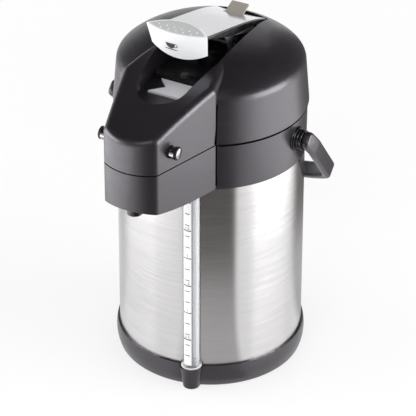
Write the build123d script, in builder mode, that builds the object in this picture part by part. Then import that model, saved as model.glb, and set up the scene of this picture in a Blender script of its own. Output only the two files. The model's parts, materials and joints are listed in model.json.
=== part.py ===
from build123d import *
import math
import os

# Lever-action vacuum carafe with a flip lid, in millimetres.
# Origin on the body's axis at the resting plane. Front (spout) is -Y, +Z is up.

os.makedirs("parts", exist_ok=True)

# ---- clearances ----
RUN = 0.05          # radial running clearance of a pin in its hole
FIT = 0.05          # gap between two pieces fixed together
LOOSE = 0.3         # gap between pieces that move past each other
EPS = 0.02          # faces that only touch

# ---- walls ----
SHELL_T = 0.6
LINER_T = 0.8
WALL = 2.6          # collar, beak and dome
BASE_WALL = 5.0
DECK_T = 2.4
FLOOR_T = 2.4

# ---- base, from the table up ----
FOOT_LIFT = 1.0     # the feet stand this far out of the base
FOOT_R = 8.0
FOOT_SEAT = 0.6     # depth of the feet in the base plate
CENTRE_FOOT_R = 12.0
BASE_PLATE_T = 2.5
RIB_H = 1.0         # stiffening rings of the base plate
ELBOW_R = 5.0
ELBOW_BORE = 3.6
ELBOW_BEND = 5.6
ELBOW_GAP = 1.0     # elbow over the rings
ELBOW_Z = FOOT_LIFT + BASE_PLATE_T + RIB_H + ELBOW_GAP + ELBOW_R
TUBE_Z0 = ELBOW_Z + ELBOW_BEND + 0.9
TUBE_SEAT = 5.8     # the tube's end stands this deep in the base
BASE_H = TUBE_Z0 + TUBE_SEAT
SCREW_R = 1.5
SCREW_HEAD_R = 3.0
SCREW_HEAD_T = 1.1
SCREW_SEAT = 1.2
SCREW_LENGTH = 9.0
SCREW_HOLE = 11.0
SCREW_BOSS_R = 5.0

# ---- vacuum body ----
SHELL_R = 82.5      # outside radius of the steel shell
SHELL_H = 190.7
SHELL_SEAT = 3.7    # depth of the shell in the base ring
SHELL_Z0 = BASE_H - SHELL_SEAT
SHELL_Z1 = SHELL_Z0 + SHELL_H
JACKET_UP = 4.5     # jacket bottom over the shell's lower edge
NECK_R = 46.0       # inside radius of the neck
NECK_RISE = 8.2     # lip of the neck over the shell's shoulder
NECK_FLAT = 3.0
LINER_UP = 10.9     # inside bottom of the liner over the shell's lower edge
LINER_CORNER_R = 16.0
SHOULDER_GAP = 1.4  # liner's shoulder under the shell's
OUTLET_R = 5.0
OUTLET_BORE = 3.8
OUTLET_Z = SHELL_Z0 + 0.5

# ---- sight tube ----
TUBE_ANGLE = 16.9   # degrees from the spout's centre line towards +X
TUBE_STAND = 0.7    # tube's axis outside the shell's surface
TUBE_R = 7.0
TUBE_BORE = 5.5
GROOVE_GAP = 1.0
GROOVE_LINER_GAP = 0.8
SEAL_T = 2.2
BOSS_WALL = 1.8
BOSS_FOOT_R = 7.6
BOSS_FLARE = 2.5    # fairing of the boss beside its round front
TUBE_PITCH_R = SHELL_R + TUBE_STAND
GROOVE_R = TUBE_R + GROOVE_GAP
SEAL_R = TUBE_R + SEAL_T
BOSS_R = SEAL_R + BOSS_WALL
TUBE_X = TUBE_PITCH_R * math.sin(math.radians(TUBE_ANGLE))
TUBE_Y = -TUBE_PITCH_R * math.cos(math.radians(TUBE_ANGLE))
LINER_R = TUBE_PITCH_R - GROOVE_R - SHELL_T - GROOVE_LINER_GAP - LINER_T
LINER_Z0 = SHELL_Z0 + LINER_UP
LINER_Z1 = SHELL_Z1 + NECK_RISE
LINER_SHOULDER_R = LINER_R - NECK_R - NECK_FLAT
LINER_SHOULDER_Z = SHELL_Z1 - SHELL_T - SHOULDER_GAP - LINER_T - LINER_SHOULDER_R

# ---- base ring, round the shell ----
BASE_LIP = 1.9
BASE_BULGE = 0.8
BASE_TUCK = 1.4
FOOT_IN = 21.4      # feet inside the plate's seat
SCREW_IN = 3.9
BASE_TOP_R = SHELL_R + BASE_LIP
BASE_BELLY_R = BASE_TOP_R + BASE_BULGE
BASE_FOOT_R = BASE_TOP_R - BASE_TUCK
PLATE_SEAT_R = BASE_TOP_R - BASE_WALL
SCREW_PITCH_R = PLATE_SEAT_R - SCREW_IN
FOOT_PITCH_R = PLATE_SEAT_R - FOOT_IN

# ---- collar and beak ----
COLLAR_LAP = 3.8    # collar over the shell
COLLAR_H = 44.0
COLLAR_T = 1.2      # collar's lower edge outside the shell
COLLAR_DRAFT = 0.4
SEAM_GAP = 1.2
DECK_DROP = 10.0
SHELF_H = 2.6       # mouth ring's shelf on the shell's shoulder
MOUTH_T = 2.5
GASKET_W = 6.7
GASKET_LIP = 1.0
COLLAR_Z0 = SHELL_Z1 - COLLAR_LAP
SEAM_Z = COLLAR_Z0 + COLLAR_H
SEAM_LOW = SEAM_Z - SEAM_GAP / 2
SEAM_TOP = SEAM_Z + SEAM_GAP / 2
COLLAR_R0 = SHELL_R + COLLAR_T
COLLAR_R1 = COLLAR_R0 + COLLAR_DRAFT
COLLAR_IN_R = COLLAR_R0 - WALL - 0.4
DECK_Z = SEAM_Z - DECK_DROP
SHELF_Z = SHELL_Z1 + SHELF_H
THROAT_R = NECK_R + LINER_T + GASKET_W
BEAK_CREASE_X = 43.9
BEAK_CREASE_Y = -73.0
BEAK_TIP_X = 25.5
BEAK_TIP_Y = -141.0
BEAK_NOSE = 8.5     # bow of the front
BEAK_CORNER_R = 8.0
BEAK_TOP_FILLET = 6.5
BEAK_ROOT_X = 37.0  # where the beak's sides end inside the dome
BEAK_ROOT_Y = -40.0
BEAK_FRONT_H = 34.0  # ridge over the seam, from the front corners to the crown
BEAK_MID_H = 46.5
BEAK_CREASE_H = 55.3
BEAK_REAR_H = 61.0
BEAK_FLOOR_UP = 1.0
BEAK_FLOOR_RISE = 8.0
BEAK_NOSE_Y = BEAK_TIP_Y - BEAK_NOSE
BEAK_PAST_Y = BEAK_NOSE_Y - 6.5
BEAK_FLOOR_Z = COLLAR_Z0 + BEAK_FLOOR_UP
NOZZLE_BACK = 7.0   # nozzle behind the beak's corners
NOZZLE_R = 6.8
NOZZLE_BORE = 5.2
NOZZLE_DROP = 4.0
NOZZLE_FLANGE_R = 9.0
NOZZLE_FLANGE_T = 2.0
NOZZLE_H = 17.1
NOZZLE_Y = BEAK_TIP_Y + NOZZLE_BACK
NOZZLE_Z0 = BEAK_FLOOR_Z - NOZZLE_DROP
NOZZLE_Z1 = NOZZLE_Z0 + NOZZLE_H
TUBE_RISE = 10.0    # tube's upper end inside the collar
TUBE_Z1 = COLLAR_Z0 + TUBE_RISE
SLEEVE_H = 11.0
SLEEVE_WALL = 2.4
PIPE_BEND = TUBE_R + 1.5
PIPE_Z = DECK_Z - DECK_T - TUBE_R + 0.4

# ---- lid ----
RIM_LIP = 1.3       # rim of the lid outside the collar
DOME_DRAW = 3.15
SHOULDER_H = 38.0
CROWN_H = 32.0
CROWN_POWER_R = 1.61
CROWN_POWER_Z = 1.74
CROWN_STEPS = 6
RIM_R = COLLAR_R1 + RIM_LIP
SHOULDER_R = RIM_R - DOME_DRAW
SHOULDER_Z = SEAM_Z + SHOULDER_H
CROWN_Z = SHOULDER_Z + CROWN_H
HINGE_PIN_R = 2.0
HINGE_WALL = 2.5
HINGE_OUT = 2.6     # hinge axis behind the rim
HINGE_DROP = 1.0
COLLAR_KNUCKLE_X0 = 14.0
COLLAR_KNUCKLE_X1 = 24.0
HINGE_Y = RIM_R + HINGE_OUT
HINGE_Z = SEAM_Z - HINGE_DROP
HINGE_BARREL_R = HINGE_PIN_R + HINGE_WALL
LID_KNUCKLE_X = COLLAR_KNUCKLE_X0 - LOOSE
LID_BASE_UP = 1.4
LID_BASE_T = 2.5
LID_BASE_IN = 3.8   # lid base inside the dome's wall
LID_BASE_Z = SEAM_Z + LID_BASE_UP
LID_BASE_R = RIM_R - WALL - LID_BASE_IN
POST_PITCH_R = 66.0
POST_R = 4.0
POST_SCREW_R = 1.25
POST_SCREW_HEAD_R = 2.6
POST_Z = LID_BASE_Z + LID_BASE_T + 0.1
CUP_CLEAR = 2.0     # cup inside the neck
CUP_T = 2.0
CUP_FLOOR_T = 2.4
CUP_R = NECK_R - CUP_CLEAR - CUP_T
CUP_Z0 = LINER_Z1 + 4.0
CUP_OUT_R = CUP_R + CUP_T
CUP_RIB = 10.0
LID_SEAL_W = 4.0    # lid seal past the neck's bore
VALVE_R = 8.4
VALVE_T = 1.6
VALVE_STEM_R = 1.6

# ---- lever, sketched from its axle ----
AXLE_Y = 49.0
AXLE_DROP = 17.0    # axle under the crown
AXLE_R = 2.5
AXLE_LUG_R = 5.2
LEVER_HALF = 24.0
LEVER_T = 1.5
LEVER_REACH = 110.5
LEVER_RISE = 37.6
LEVER_SIDE = 1.6    # lever's side to the channel's rear corner
PUSH_Y = 6.0
PUSH_UP = 0.5
PUSH_R = 3.0
PUSH_HALF = 22.0
BRACKET_HALF = 18.0
BRACKET_LUG_R = 5.6
BRACKET_T = 1.5
LOCK_BACK = -11.0   # lock pin from the axle
LOCK_UP = 7.6
LOCK_PIN_R = 1.2
LOCK_HALF = 8.3
AXLE_Z = CROWN_Z - AXLE_DROP
PUSH_Z = AXLE_Z + PUSH_UP
LEVER_PLANE = Plane(origin=(0, AXLE_Y, AXLE_Z), x_dir=(0, 1, 0), z_dir=(1, 0, 0))
LOCK_PLANE = Plane(
    origin=(0, AXLE_Y + LOCK_BACK, AXLE_Z + LOCK_UP), x_dir=(0, 1, 0), z_dir=(1, 0, 0)
)
TIP_Y = AXLE_Y - LEVER_REACH
TIP_Z = AXLE_Z + LEVER_RISE
GRIP_HALF = 29.5
GRIP_BOTTOM_HALF = 24.8
GRIP_UP = 4.5       # blank of the grip over the lever's tip
GRIP_DOWN = 32.6
INLAY_INSET = 3.4
INLAY_T = 0.8

# ---- channel of the lever ----
CHANNEL_DEPTH = 35.0
CHANNEL_REAR_Y = 57.0
CHANNEL_REAR_X = LEVER_HALF + LEVER_SIDE
CHANNEL_MID_X = CHANNEL_REAR_X + 5.3
CHANNEL_MID_Y = -6.0
CHANNEL_FRONT_X = CHANNEL_REAR_X - 2.1
CHANNEL_FRONT_Y = -83.0
FLOOR_Z = CROWN_Z - CHANNEL_DEPTH
AXLE_SEAT = 4.2     # axle's end past the channel's rear corner
STOP_Z = AXLE_Z - 11.0
STOP_Y = -43.0      # rear face of the stop bar
STOP_T = 7.6
STOP_HALF = CHANNEL_FRONT_X + 3.5
BUMPER_R = 3.6
BUMPER_H = 3.0
STRIP_T = 2.0
STRIP_L = 24.0
STRIP_HALF = CHANNEL_FRONT_X - 2.0

# ---- pump ----
STEM_R = 12.0
STEM_WALL = 2.4
GUIDE_T = 3.0
GUIDE_H = 2.0
PLATE_T = 2.4
PLATE_GAP = 2.8     # plunger's plate under its guide
CAP_T = 1.6
CAP_GAP = 0.06      # push pin over the cap
BELLOWS_IN = 4.0
BELLOWS_DEPTH = 5.0
BELLOWS_WALL = 1.5
BELLOWS_FOLDS = 6
BELLOWS_R = CUP_R - BELLOWS_IN
BELLOWS_Z0 = CUP_Z0 + CUP_FLOOR_T + 0.5
PLATE_R = BELLOWS_R
PLATE_Z = FLOOR_Z - FLOOR_T - GUIDE_H - PLATE_GAP - PLATE_T
CAP_Z = PUSH_Z - PUSH_R - CAP_GAP - CAP_T
SPRING_R = 20.0
SPRING_WIRE = 1.1
SPRING_TURNS = 5
SPRING_END = 1.5

# ---- buttons ----
BUTTON_BACK = 16.4  # buttons behind the beak's corners
BUTTON_UP = 16.6
BUTTON_R = 5.8
BUTTON_OUT = 12.5
BUTTON_IN = 6.5
BUTTON_POCKET_R = 3.4
BUTTON_GUIDE_T = 2.2
LATCH_T = 1.58
LATCH_HALF = 5.5
LATCH_DROP = 14.0
BUTTON_COIL_R = 2.4
BUTTON_WIRE = 0.45
BUTTON_COIL_H = 13.0
BUTTON_Y = BEAK_TIP_Y + BUTTON_BACK
BUTTON_Z = SEAM_Z + BUTTON_UP
BUTTON_END_X = BEAK_TIP_X + BUTTON_OUT
BUTTON_BACK_X = BEAK_TIP_X - BUTTON_IN

# ---- bail ----
BAIL_DROP = 19.0    # pivot under the seam
BAIL_TILT = 45.0    # degrees below level at rest
BAIL_SIDE = 15.3    # outside of the bail from the collar
BAIL_T = 7.4
BAIL_H = 15.0
BAIL_STRAIGHT = 12.0
BAIL_TAPER = 20.4
BAIL_BOW = 33.5
BAIL_CLEAR = 43.1   # inside of the hand part behind the rim
BAIL_HUB_R = 8.6
STUD_R = 5.0
STUD_SHANK_R = 4.0
BAIL_Z = SEAM_Z - BAIL_DROP
BAIL_OUT = COLLAR_R1 + BAIL_SIDE
BAIL_IN = BAIL_OUT - BAIL_T
BAIL_REACH = RIM_R + BAIL_CLEAR
BAIL_CORNER_X = BAIL_OUT - BAIL_TAPER
BAIL_CORNER_V = BAIL_REACH - BAIL_BOW


def save(piece, name):
    """Name a finished piece and write its file."""
    piece.part.label = name
    export_step(piece.part, "parts/" + name + ".step")


def dome_face(shrink, floor_z):
    """Half section of the dome, moved inwards by shrink, closed on the axis at floor_z."""
    crown = []
    for step in range(CROWN_STEPS):
        a = math.radians(90 * step / (CROWN_STEPS - 1))
        r = (SHOULDER_R - shrink) * math.cos(a) ** (2 / CROWN_POWER_R)
        z = SHOULDER_Z + (CROWN_Z - SHOULDER_Z - shrink) * math.sin(a) ** (2 / CROWN_POWER_Z)
        crown.append((r, z))
    crown[-1] = (0, CROWN_Z - shrink)
    slope = DOME_DRAW / SHOULDER_H
    foot_r = SHOULDER_R - shrink + slope * (SHOULDER_Z - floor_z)
    with BuildSketch() as face:
        with BuildLine():
            Spline(crown, tangents=[(-slope, 1), (-1, 0)])
            Line((0, CROWN_Z - shrink), (0, floor_z))
            Line((0, floor_z), (foot_r, floor_z))
            Line((foot_r, floor_z), crown[0])
        make_face()
    return face.sketch


def beak_body(shrink, fillet_r):
    """Whole beak as one solid, every side moved inwards by shrink."""
    with BuildPart() as beak:
        with BuildSketch(Plane.XY.offset(COLLAR_Z0 - 11)) as plan:
            with BuildLine():
                ThreePointArc((BEAK_TIP_X, BEAK_TIP_Y), (0, BEAK_NOSE_Y), (-BEAK_TIP_X, BEAK_TIP_Y))
                Line((-BEAK_TIP_X, BEAK_TIP_Y), (-BEAK_CREASE_X, BEAK_CREASE_Y))
                Line((-BEAK_CREASE_X, BEAK_CREASE_Y), (-BEAK_ROOT_X, BEAK_ROOT_Y))
                Line((-BEAK_ROOT_X, BEAK_ROOT_Y), (BEAK_ROOT_X, BEAK_ROOT_Y))
                Line((BEAK_ROOT_X, BEAK_ROOT_Y), (BEAK_CREASE_X, BEAK_CREASE_Y))
                Line((BEAK_CREASE_X, BEAK_CREASE_Y), (BEAK_TIP_X, BEAK_TIP_Y))
            make_face()
            fillet(plan.vertices().group_by(Axis.Y)[0], radius=BEAK_CORNER_R)
            if shrink > 0:
                offset(amount=-shrink, kind=Kind.INTERSECTION)
        extrude(amount=CROWN_Z - COLLAR_Z0 + 11)
        ridge_z = SEAM_Z - shrink
        floor_z = BEAK_FLOOR_Z + shrink
        back_y = BEAK_ROOT_Y + 2
        with BuildSketch(Plane.YZ):
            with BuildLine():
                Spline(
                    (BEAK_PAST_Y, ridge_z + BEAK_FRONT_H - 7.0),
                    (BEAK_TIP_Y + 1, ridge_z + BEAK_FRONT_H),
                    (BEAK_CREASE_Y - 31, ridge_z + BEAK_MID_H),
                    (BEAK_CREASE_Y, ridge_z + BEAK_CREASE_H),
                    (back_y, ridge_z + BEAK_REAR_H),
                )
                Line((back_y, ridge_z + BEAK_REAR_H), (back_y, floor_z))
                Line((back_y, floor_z), (BEAK_CREASE_Y - 25, floor_z))
                ThreePointArc(
                    (BEAK_CREASE_Y - 25, floor_z),
                    (BEAK_CREASE_Y - 53, floor_z + 0.3 * BEAK_FLOOR_RISE),
                    (BEAK_PAST_Y, floor_z + 1.15 * BEAK_FLOOR_RISE),
                )
                Line((BEAK_PAST_Y, floor_z + 1.15 * BEAK_FLOOR_RISE), (BEAK_PAST_Y, ridge_z + BEAK_FRONT_H - 7.0))
            make_face()
        extrude(amount=BEAK_CREASE_X + 16, both=True, mode=Mode.INTERSECT)
        top = beak.faces().filter_by(lambda f: f.center().Z > SEAM_Z + 20 and abs(f.normal_at().Z) > 0.6)
        rim = top.edges().filter_by(lambda e: e.center().Y < BEAK_ROOT_Y - 5)
        fillet(rim, radius=fillet_r)
    return beak.part


def channel_outline(grow):
    """Plan outline of the lever channel, moved outwards by grow."""
    with BuildSketch() as face:
        with BuildLine():
            ThreePointArc(
                (CHANNEL_FRONT_X, CHANNEL_FRONT_Y),
                (CHANNEL_MID_X, CHANNEL_MID_Y),
                (CHANNEL_REAR_X, CHANNEL_REAR_Y),
            )
            Line((CHANNEL_REAR_X, CHANNEL_REAR_Y), (-CHANNEL_REAR_X, CHANNEL_REAR_Y))
            ThreePointArc(
                (-CHANNEL_REAR_X, CHANNEL_REAR_Y),
                (-CHANNEL_MID_X, CHANNEL_MID_Y),
                (-CHANNEL_FRONT_X, CHANNEL_FRONT_Y),
            )
            ThreePointArc(
                (-CHANNEL_FRONT_X, CHANNEL_FRONT_Y),
                (0, CHANNEL_FRONT_Y - CHANNEL_FRONT_X),
                (CHANNEL_FRONT_X, CHANNEL_FRONT_Y),
            )
        make_face()
        if grow > 0:
            offset(amount=grow, kind=Kind.INTERSECTION)
    return face.sketch


def around(radius, count, start):
    """Points spread evenly on a circle, as (x, y)."""
    spots = []
    for n in range(count):
        a = math.radians(start + 360 * n / count)
        spots.append((radius * math.cos(a), radius * math.sin(a)))
    return spots


# ---------------------------------------------------------------- base

with BuildPart() as boss:
    for z, r, flare in (
        (FOOT_LIFT, BOSS_FOOT_R, BOSS_FOOT_R + 0.56 * BOSS_FLARE),
        (BASE_H, BOSS_R, BOSS_R + BOSS_FLARE),
    ):
        with BuildSketch(Plane(origin=(TUBE_X, TUBE_Y, z), x_dir=(-TUBE_Y, TUBE_X, 0), z_dir=(0, 0, 1))):
            with BuildLine():
                ThreePointArc((r, 0), (0, -r), (-r, 0))
                Line((-r, 0), (-flare, 4.0))
                Line((-flare, 4.0), (flare, 4.0))
                Line((flare, 4.0), (r, 0))
            make_face()
    loft()



def elbow_sweep(outer, inner):
    """Bent pipe from under the liner to the foot of the sight tube."""
    with BuildPart() as bend:
        with BuildLine() as path:
            FilletPolyline(
                (0, 0, OUTLET_Z - 0.1),
                (0, 0, ELBOW_Z),
                (TUBE_X, TUBE_Y, ELBOW_Z),
                (TUBE_X, TUBE_Y, TUBE_Z0 - EPS),
                radius=ELBOW_BEND,
            )
        with BuildSketch(Plane(origin=(0, 0, OUTLET_Z - 0.1), z_dir=(0, 0, -1))):
            Circle(outer)
            if inner > 0:
                Circle(inner, mode=Mode.SUBTRACT)
        sweep(path=path.wires()[0])
    return bend.part


with BuildPart() as base_ring:
    with BuildSketch(Plane.XZ):
        with BuildLine():
            Line((BASE_FOOT_R - 0.8, FOOT_LIFT), (BASE_FOOT_R, FOOT_LIFT + 0.8))
            ThreePointArc(
                (BASE_FOOT_R, FOOT_LIFT + 0.8), (BASE_BELLY_R, BASE_H * 0.5), (BASE_TOP_R, BASE_H)
            )
            Line((BASE_TOP_R, BASE_H), (SHELL_R + FIT, BASE_H))
            Line((SHELL_R + FIT, BASE_H), (SHELL_R + FIT, SHELL_Z0 - EPS))
            Line((SHELL_R + FIT, SHELL_Z0 - EPS), (PLATE_SEAT_R, SHELL_Z0 - EPS))
            Line((PLATE_SEAT_R, SHELL_Z0 - EPS), (PLATE_SEAT_R, FOOT_LIFT))
            Line((PLATE_SEAT_R, FOOT_LIFT), (BASE_FOOT_R - 0.8, FOOT_LIFT))
        make_face()
    revolve(axis=Axis.Z)
    add(boss.part)
    with BuildSketch(Plane.XY.offset(FOOT_LIFT + BASE_PLATE_T + EPS)):
        with Locations(*around(SCREW_PITCH_R, 4, 45)):
            Circle(SCREW_BOSS_R)
    extrude(amount=SCREW_HOLE + 1)
    # the shell and its groove stand in the ring
    with BuildSketch(Plane.XY.offset(SHELL_Z0 - EPS)):
        Circle(SHELL_R + FIT)
        with Locations((TUBE_X, TUBE_Y)):
            Circle(SEAL_R, mode=Mode.SUBTRACT)
    extrude(amount=SHELL_SEAT + 5, mode=Mode.SUBTRACT)
    # seat of the tube's lower seal, then the way down to the elbow
    with BuildSketch(Plane.XY.offset(TUBE_Z0 - EPS)):
        with Locations((TUBE_X, TUBE_Y)):
            Circle(SEAL_R)
    extrude(amount=BASE_H, mode=Mode.SUBTRACT)
    add(elbow_sweep(ELBOW_R + LOOSE, 0), mode=Mode.SUBTRACT)
    # room for the base plate
    with BuildSketch(Plane.XY.offset(FOOT_LIFT)):
        Circle(PLATE_SEAT_R)
    extrude(amount=BASE_PLATE_T + EPS, mode=Mode.SUBTRACT)
    with BuildSketch(Plane.XY.offset(FOOT_LIFT)):
        with Locations(*around(SCREW_PITCH_R, 4, 45)):
            Circle(SCREW_R + EPS)
    extrude(amount=SCREW_HOLE, mode=Mode.SUBTRACT)
save(base_ring, "base_ring")

with BuildPart() as base_plate:
    with BuildSketch(Plane.XY.offset(FOOT_LIFT)):
        Circle(PLATE_SEAT_R - FIT)
    extrude(amount=BASE_PLATE_T)
    with BuildSketch(Plane.XY.offset(FOOT_LIFT)):
        with Locations(*around(FOOT_PITCH_R, 4, 45)):
            Circle(FOOT_R)
        Circle(CENTRE_FOOT_R)
    extrude(amount=FOOT_SEAT, mode=Mode.SUBTRACT)
    with BuildSketch(Plane.XY.offset(FOOT_LIFT)):
        with Locations(*around(SCREW_PITCH_R, 4, 45)):
            Circle(SCREW_R + RUN)
    extrude(amount=BASE_PLATE_T, mode=Mode.SUBTRACT)
    with BuildSketch(Plane.XY.offset(FOOT_LIFT)):
        with Locations(*around(SCREW_PITCH_R, 4, 45)):
            Circle(SCREW_HEAD_R + RUN)
    extrude(amount=SCREW_SEAT, mode=Mode.SUBTRACT)
    # stiffening rings on the inside
    with BuildSketch(Plane.XY.offset(FOOT_LIFT + BASE_PLATE_T)):
        Circle(FOOT_PITCH_R - 18)
        Circle(FOOT_PITCH_R - 20, mode=Mode.SUBTRACT)
        Circle(FOOT_PITCH_R + 8)
        Circle(FOOT_PITCH_R + 6, mode=Mode.SUBTRACT)
    extrude(amount=RIB_H)
save(base_plate, "base_plate")

with BuildPart() as feet:
    with BuildSketch(Plane.XY):
        with Locations(*around(FOOT_PITCH_R, 4, 45)):
            Circle(FOOT_R)
        Circle(CENTRE_FOOT_R)
    extrude(amount=FOOT_LIFT + FOOT_SEAT)
    chamfer(feet.faces().group_by(Axis.Z)[0].edges(), length=0.3)
save(feet, "feet")

with BuildPart() as base_screws:
    with BuildSketch(Plane.XY.offset(FOOT_LIFT + 0.1)):
        with Locations(*around(SCREW_PITCH_R, 4, 45)):
            Circle(SCREW_HEAD_R)
            Rectangle(3.6, 0.8, mode=Mode.SUBTRACT)
            Rectangle(0.8, 3.6, mode=Mode.SUBTRACT)
    extrude(amount=0.5)
    with BuildSketch(Plane.XY.offset(FOOT_LIFT + 0.6)):
        with Locations(*around(SCREW_PITCH_R, 4, 45)):
            Circle(SCREW_HEAD_R)
    extrude(amount=SCREW_HEAD_T - 0.5)
    with BuildSketch(Plane.XY.offset(FOOT_LIFT + SCREW_HEAD_T)):
        with Locations(*around(SCREW_PITCH_R, 4, 45)):
            Circle(SCREW_R)
    extrude(amount=SCREW_LENGTH)
save(base_screws, "base_screws")

# ---------------------------------------------------------------- vacuum body

with BuildPart() as outer_shell:
    with BuildSketch(Plane.XY.offset(SHELL_Z0)):
        Circle(SHELL_R)
        with Locations((TUBE_X, TUBE_Y)):
            Circle(GROOVE_R, mode=Mode.SUBTRACT)
    extrude(amount=SHELL_H)
    with BuildSketch(Plane.XY.offset(SHELL_Z0)):
        Circle(SHELL_R - SHELL_T)
        with Locations((TUBE_X, TUBE_Y)):
            Circle(GROOVE_R + SHELL_T, mode=Mode.SUBTRACT)
    extrude(amount=SHELL_H, mode=Mode.SUBTRACT)
save(outer_shell, "outer_shell")

with BuildPart() as shell_shoulder:
    with BuildSketch(Plane.XY.offset(SHELL_Z1 - SHELL_T)):
        Circle(SHELL_R - SHELL_T - EPS)
        with Locations((TUBE_X, TUBE_Y)):
            Circle(GROOVE_R + SHELL_T + EPS, mode=Mode.SUBTRACT)
        Circle(NECK_R + LINER_T + EPS, mode=Mode.SUBTRACT)
    extrude(amount=SHELL_T)
save(shell_shoulder, "shell_shoulder")

with BuildPart() as jacket_bottom:
    jacket_z = SHELL_Z0 + JACKET_UP
    with BuildSketch(Plane.XY.offset(jacket_z)):
        Circle(SHELL_R - SHELL_T - EPS)
        with Locations((TUBE_X, TUBE_Y)):
            Circle(GROOVE_R + SHELL_T + EPS, mode=Mode.SUBTRACT)
    extrude(amount=SHELL_T)
    with BuildSketch(Plane.XZ):
        with BuildLine():
            Line((OUTLET_R, jacket_z), (40, jacket_z))
            Line((40, jacket_z), (40, jacket_z + SHELL_T))
            ThreePointArc(
                (40, jacket_z + SHELL_T), (22, jacket_z + 2.0), (OUTLET_R, jacket_z + 2.4)
            )
            Line((OUTLET_R, jacket_z + 2.4), (OUTLET_R, jacket_z))
        make_face()
    revolve(axis=Axis.Z)
    with BuildSketch(Plane.XY.offset(SHELL_Z0)):
        Circle(OUTLET_R + 0.2)
    extrude(amount=LINER_UP, mode=Mode.SUBTRACT)
save(jacket_bottom, "jacket_bottom")


def liner_face(grow):
    """Half section of the liner's space, moved outwards by grow."""
    r = LINER_R + grow
    floor = LINER_Z0 - grow
    corner = LINER_CORNER_R + grow
    arc_r = LINER_SHOULDER_R + grow
    mid = math.sqrt(0.5)
    with BuildSketch() as face:
        with BuildLine():
            Line((0, floor), (r - corner, floor))
            ThreePointArc(
                (r - corner, floor),
                (r - corner + corner * mid, floor + corner - corner * mid),
                (r, floor + corner),
            )
            Line((r, floor + corner), (r, LINER_SHOULDER_Z))
            ThreePointArc(
                (r, LINER_SHOULDER_Z),
                (r - arc_r + arc_r * mid, LINER_SHOULDER_Z + arc_r * mid),
                (r - arc_r, LINER_SHOULDER_Z + arc_r),
            )
            Line((r - arc_r, LINER_SHOULDER_Z + arc_r), (NECK_R + grow, LINER_SHOULDER_Z + arc_r))
            Line((NECK_R + grow, LINER_SHOULDER_Z + arc_r), (NECK_R + grow, LINER_Z1))
            Line((NECK_R + grow, LINER_Z1), (0, LINER_Z1))
            Line((0, LINER_Z1), (0, floor))
        make_face()
    return face.sketch


with BuildPart() as liner:
    with BuildSketch(Plane.XZ):
        add(liner_face(LINER_T))
    revolve(axis=Axis.Z)
    with BuildSketch(Plane.XY.offset(OUTLET_Z)):
        Circle(OUTLET_R)
    extrude(amount=LINER_Z0 - OUTLET_Z)
    with BuildSketch(Plane.XZ):
        add(liner_face(0))
    revolve(axis=Axis.Z, mode=Mode.SUBTRACT)
    with BuildSketch(Plane.XY.offset(OUTLET_Z)):
        Circle(OUTLET_BORE)
    extrude(amount=LINER_Z0 - OUTLET_Z + 1, mode=Mode.SUBTRACT)
    split(bisect_by=Plane.XY.offset(LINER_SHOULDER_Z - EPS), keep=Keep.BOTTOM)
save(liner, "liner")

with BuildPart() as liner_neck:
    with BuildSketch(Plane.XZ):
        add(liner_face(LINER_T))
        add(liner_face(0), mode=Mode.SUBTRACT)
    revolve(axis=Axis.Z)
    split(bisect_by=Plane.XY.offset(LINER_SHOULDER_Z), keep=Keep.TOP)
save(liner_neck, "liner_neck")

with BuildPart() as outlet_elbow:
    add(elbow_sweep(ELBOW_R, ELBOW_BORE))
save(outlet_elbow, "outlet_elbow")

with BuildPart() as sight_tube:
    with BuildSketch(Plane.XY.offset(TUBE_Z0)):
        with Locations((TUBE_X, TUBE_Y)):
            Circle(TUBE_R)
            Circle(TUBE_BORE, mode=Mode.SUBTRACT)
    extrude(amount=TUBE_Z1 - TUBE_Z0)
save(sight_tube, "sight_tube")

with BuildPart() as scale_strip:
    with BuildSketch(Plane(origin=(TUBE_X, TUBE_Y, BASE_H + 2), x_dir=(TUBE_Y, -TUBE_X, 0), z_dir=(0, 0, 1))):
        Circle(GROOVE_R - 0.15)
        Circle(TUBE_R + 0.2, mode=Mode.SUBTRACT)
        with Locations((0, -GROOVE_R / 2)):
            Rectangle(2 * GROOVE_R - 3, 2 * GROOVE_R, align=(Align.CENTER, Align.MAX), mode=Mode.INTERSECT)
    extrude(amount=COLLAR_Z0 - BASE_H - 1)
save(scale_strip, "scale_strip")

with BuildPart() as lower_seal:
    with BuildSketch(Plane.XY.offset(TUBE_Z0 + 0.1)):
        with Locations((TUBE_X, TUBE_Y)):
            Circle(SEAL_R - EPS)
            Circle(TUBE_R + EPS, mode=Mode.SUBTRACT)
    extrude(amount=TUBE_SEAT + 0.5)
    chamfer(lower_seal.edges().group_by(Axis.Z)[-1], length=0.5)
    # the shell's groove wall stands beside the seal
    add(outer_shell.part, mode=Mode.SUBTRACT)
save(lower_seal, "lower_seal")

with BuildPart() as upper_seal:
    with BuildSketch(Plane.XY.offset(SHELL_Z1 + 1.0)):
        with Locations((TUBE_X, TUBE_Y)):
            Circle(SEAL_R)
            Circle(TUBE_R + EPS, mode=Mode.SUBTRACT)
    extrude(amount=SLEEVE_H)
save(upper_seal, "upper_seal")

with BuildPart() as spout_pipe:
    with BuildLine() as pipe_path:
        FilletPolyline(
            (TUBE_X, TUBE_Y, TUBE_Z1 + 0.1),
            (TUBE_X, TUBE_Y, PIPE_Z),
            (0, NOZZLE_Y, PIPE_Z),
            (0, NOZZLE_Y, NOZZLE_Z1 + 0.1),
            radius=PIPE_BEND,
        )
    with BuildSketch(Plane(origin=(TUBE_X, TUBE_Y, TUBE_Z1 + 0.1), z_dir=(0, 0, 1))):
        Circle(TUBE_R)
        Circle(NOZZLE_BORE, mode=Mode.SUBTRACT)
    sweep(path=pipe_path.wires()[0])
save(spout_pipe, "spout_pipe")

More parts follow.
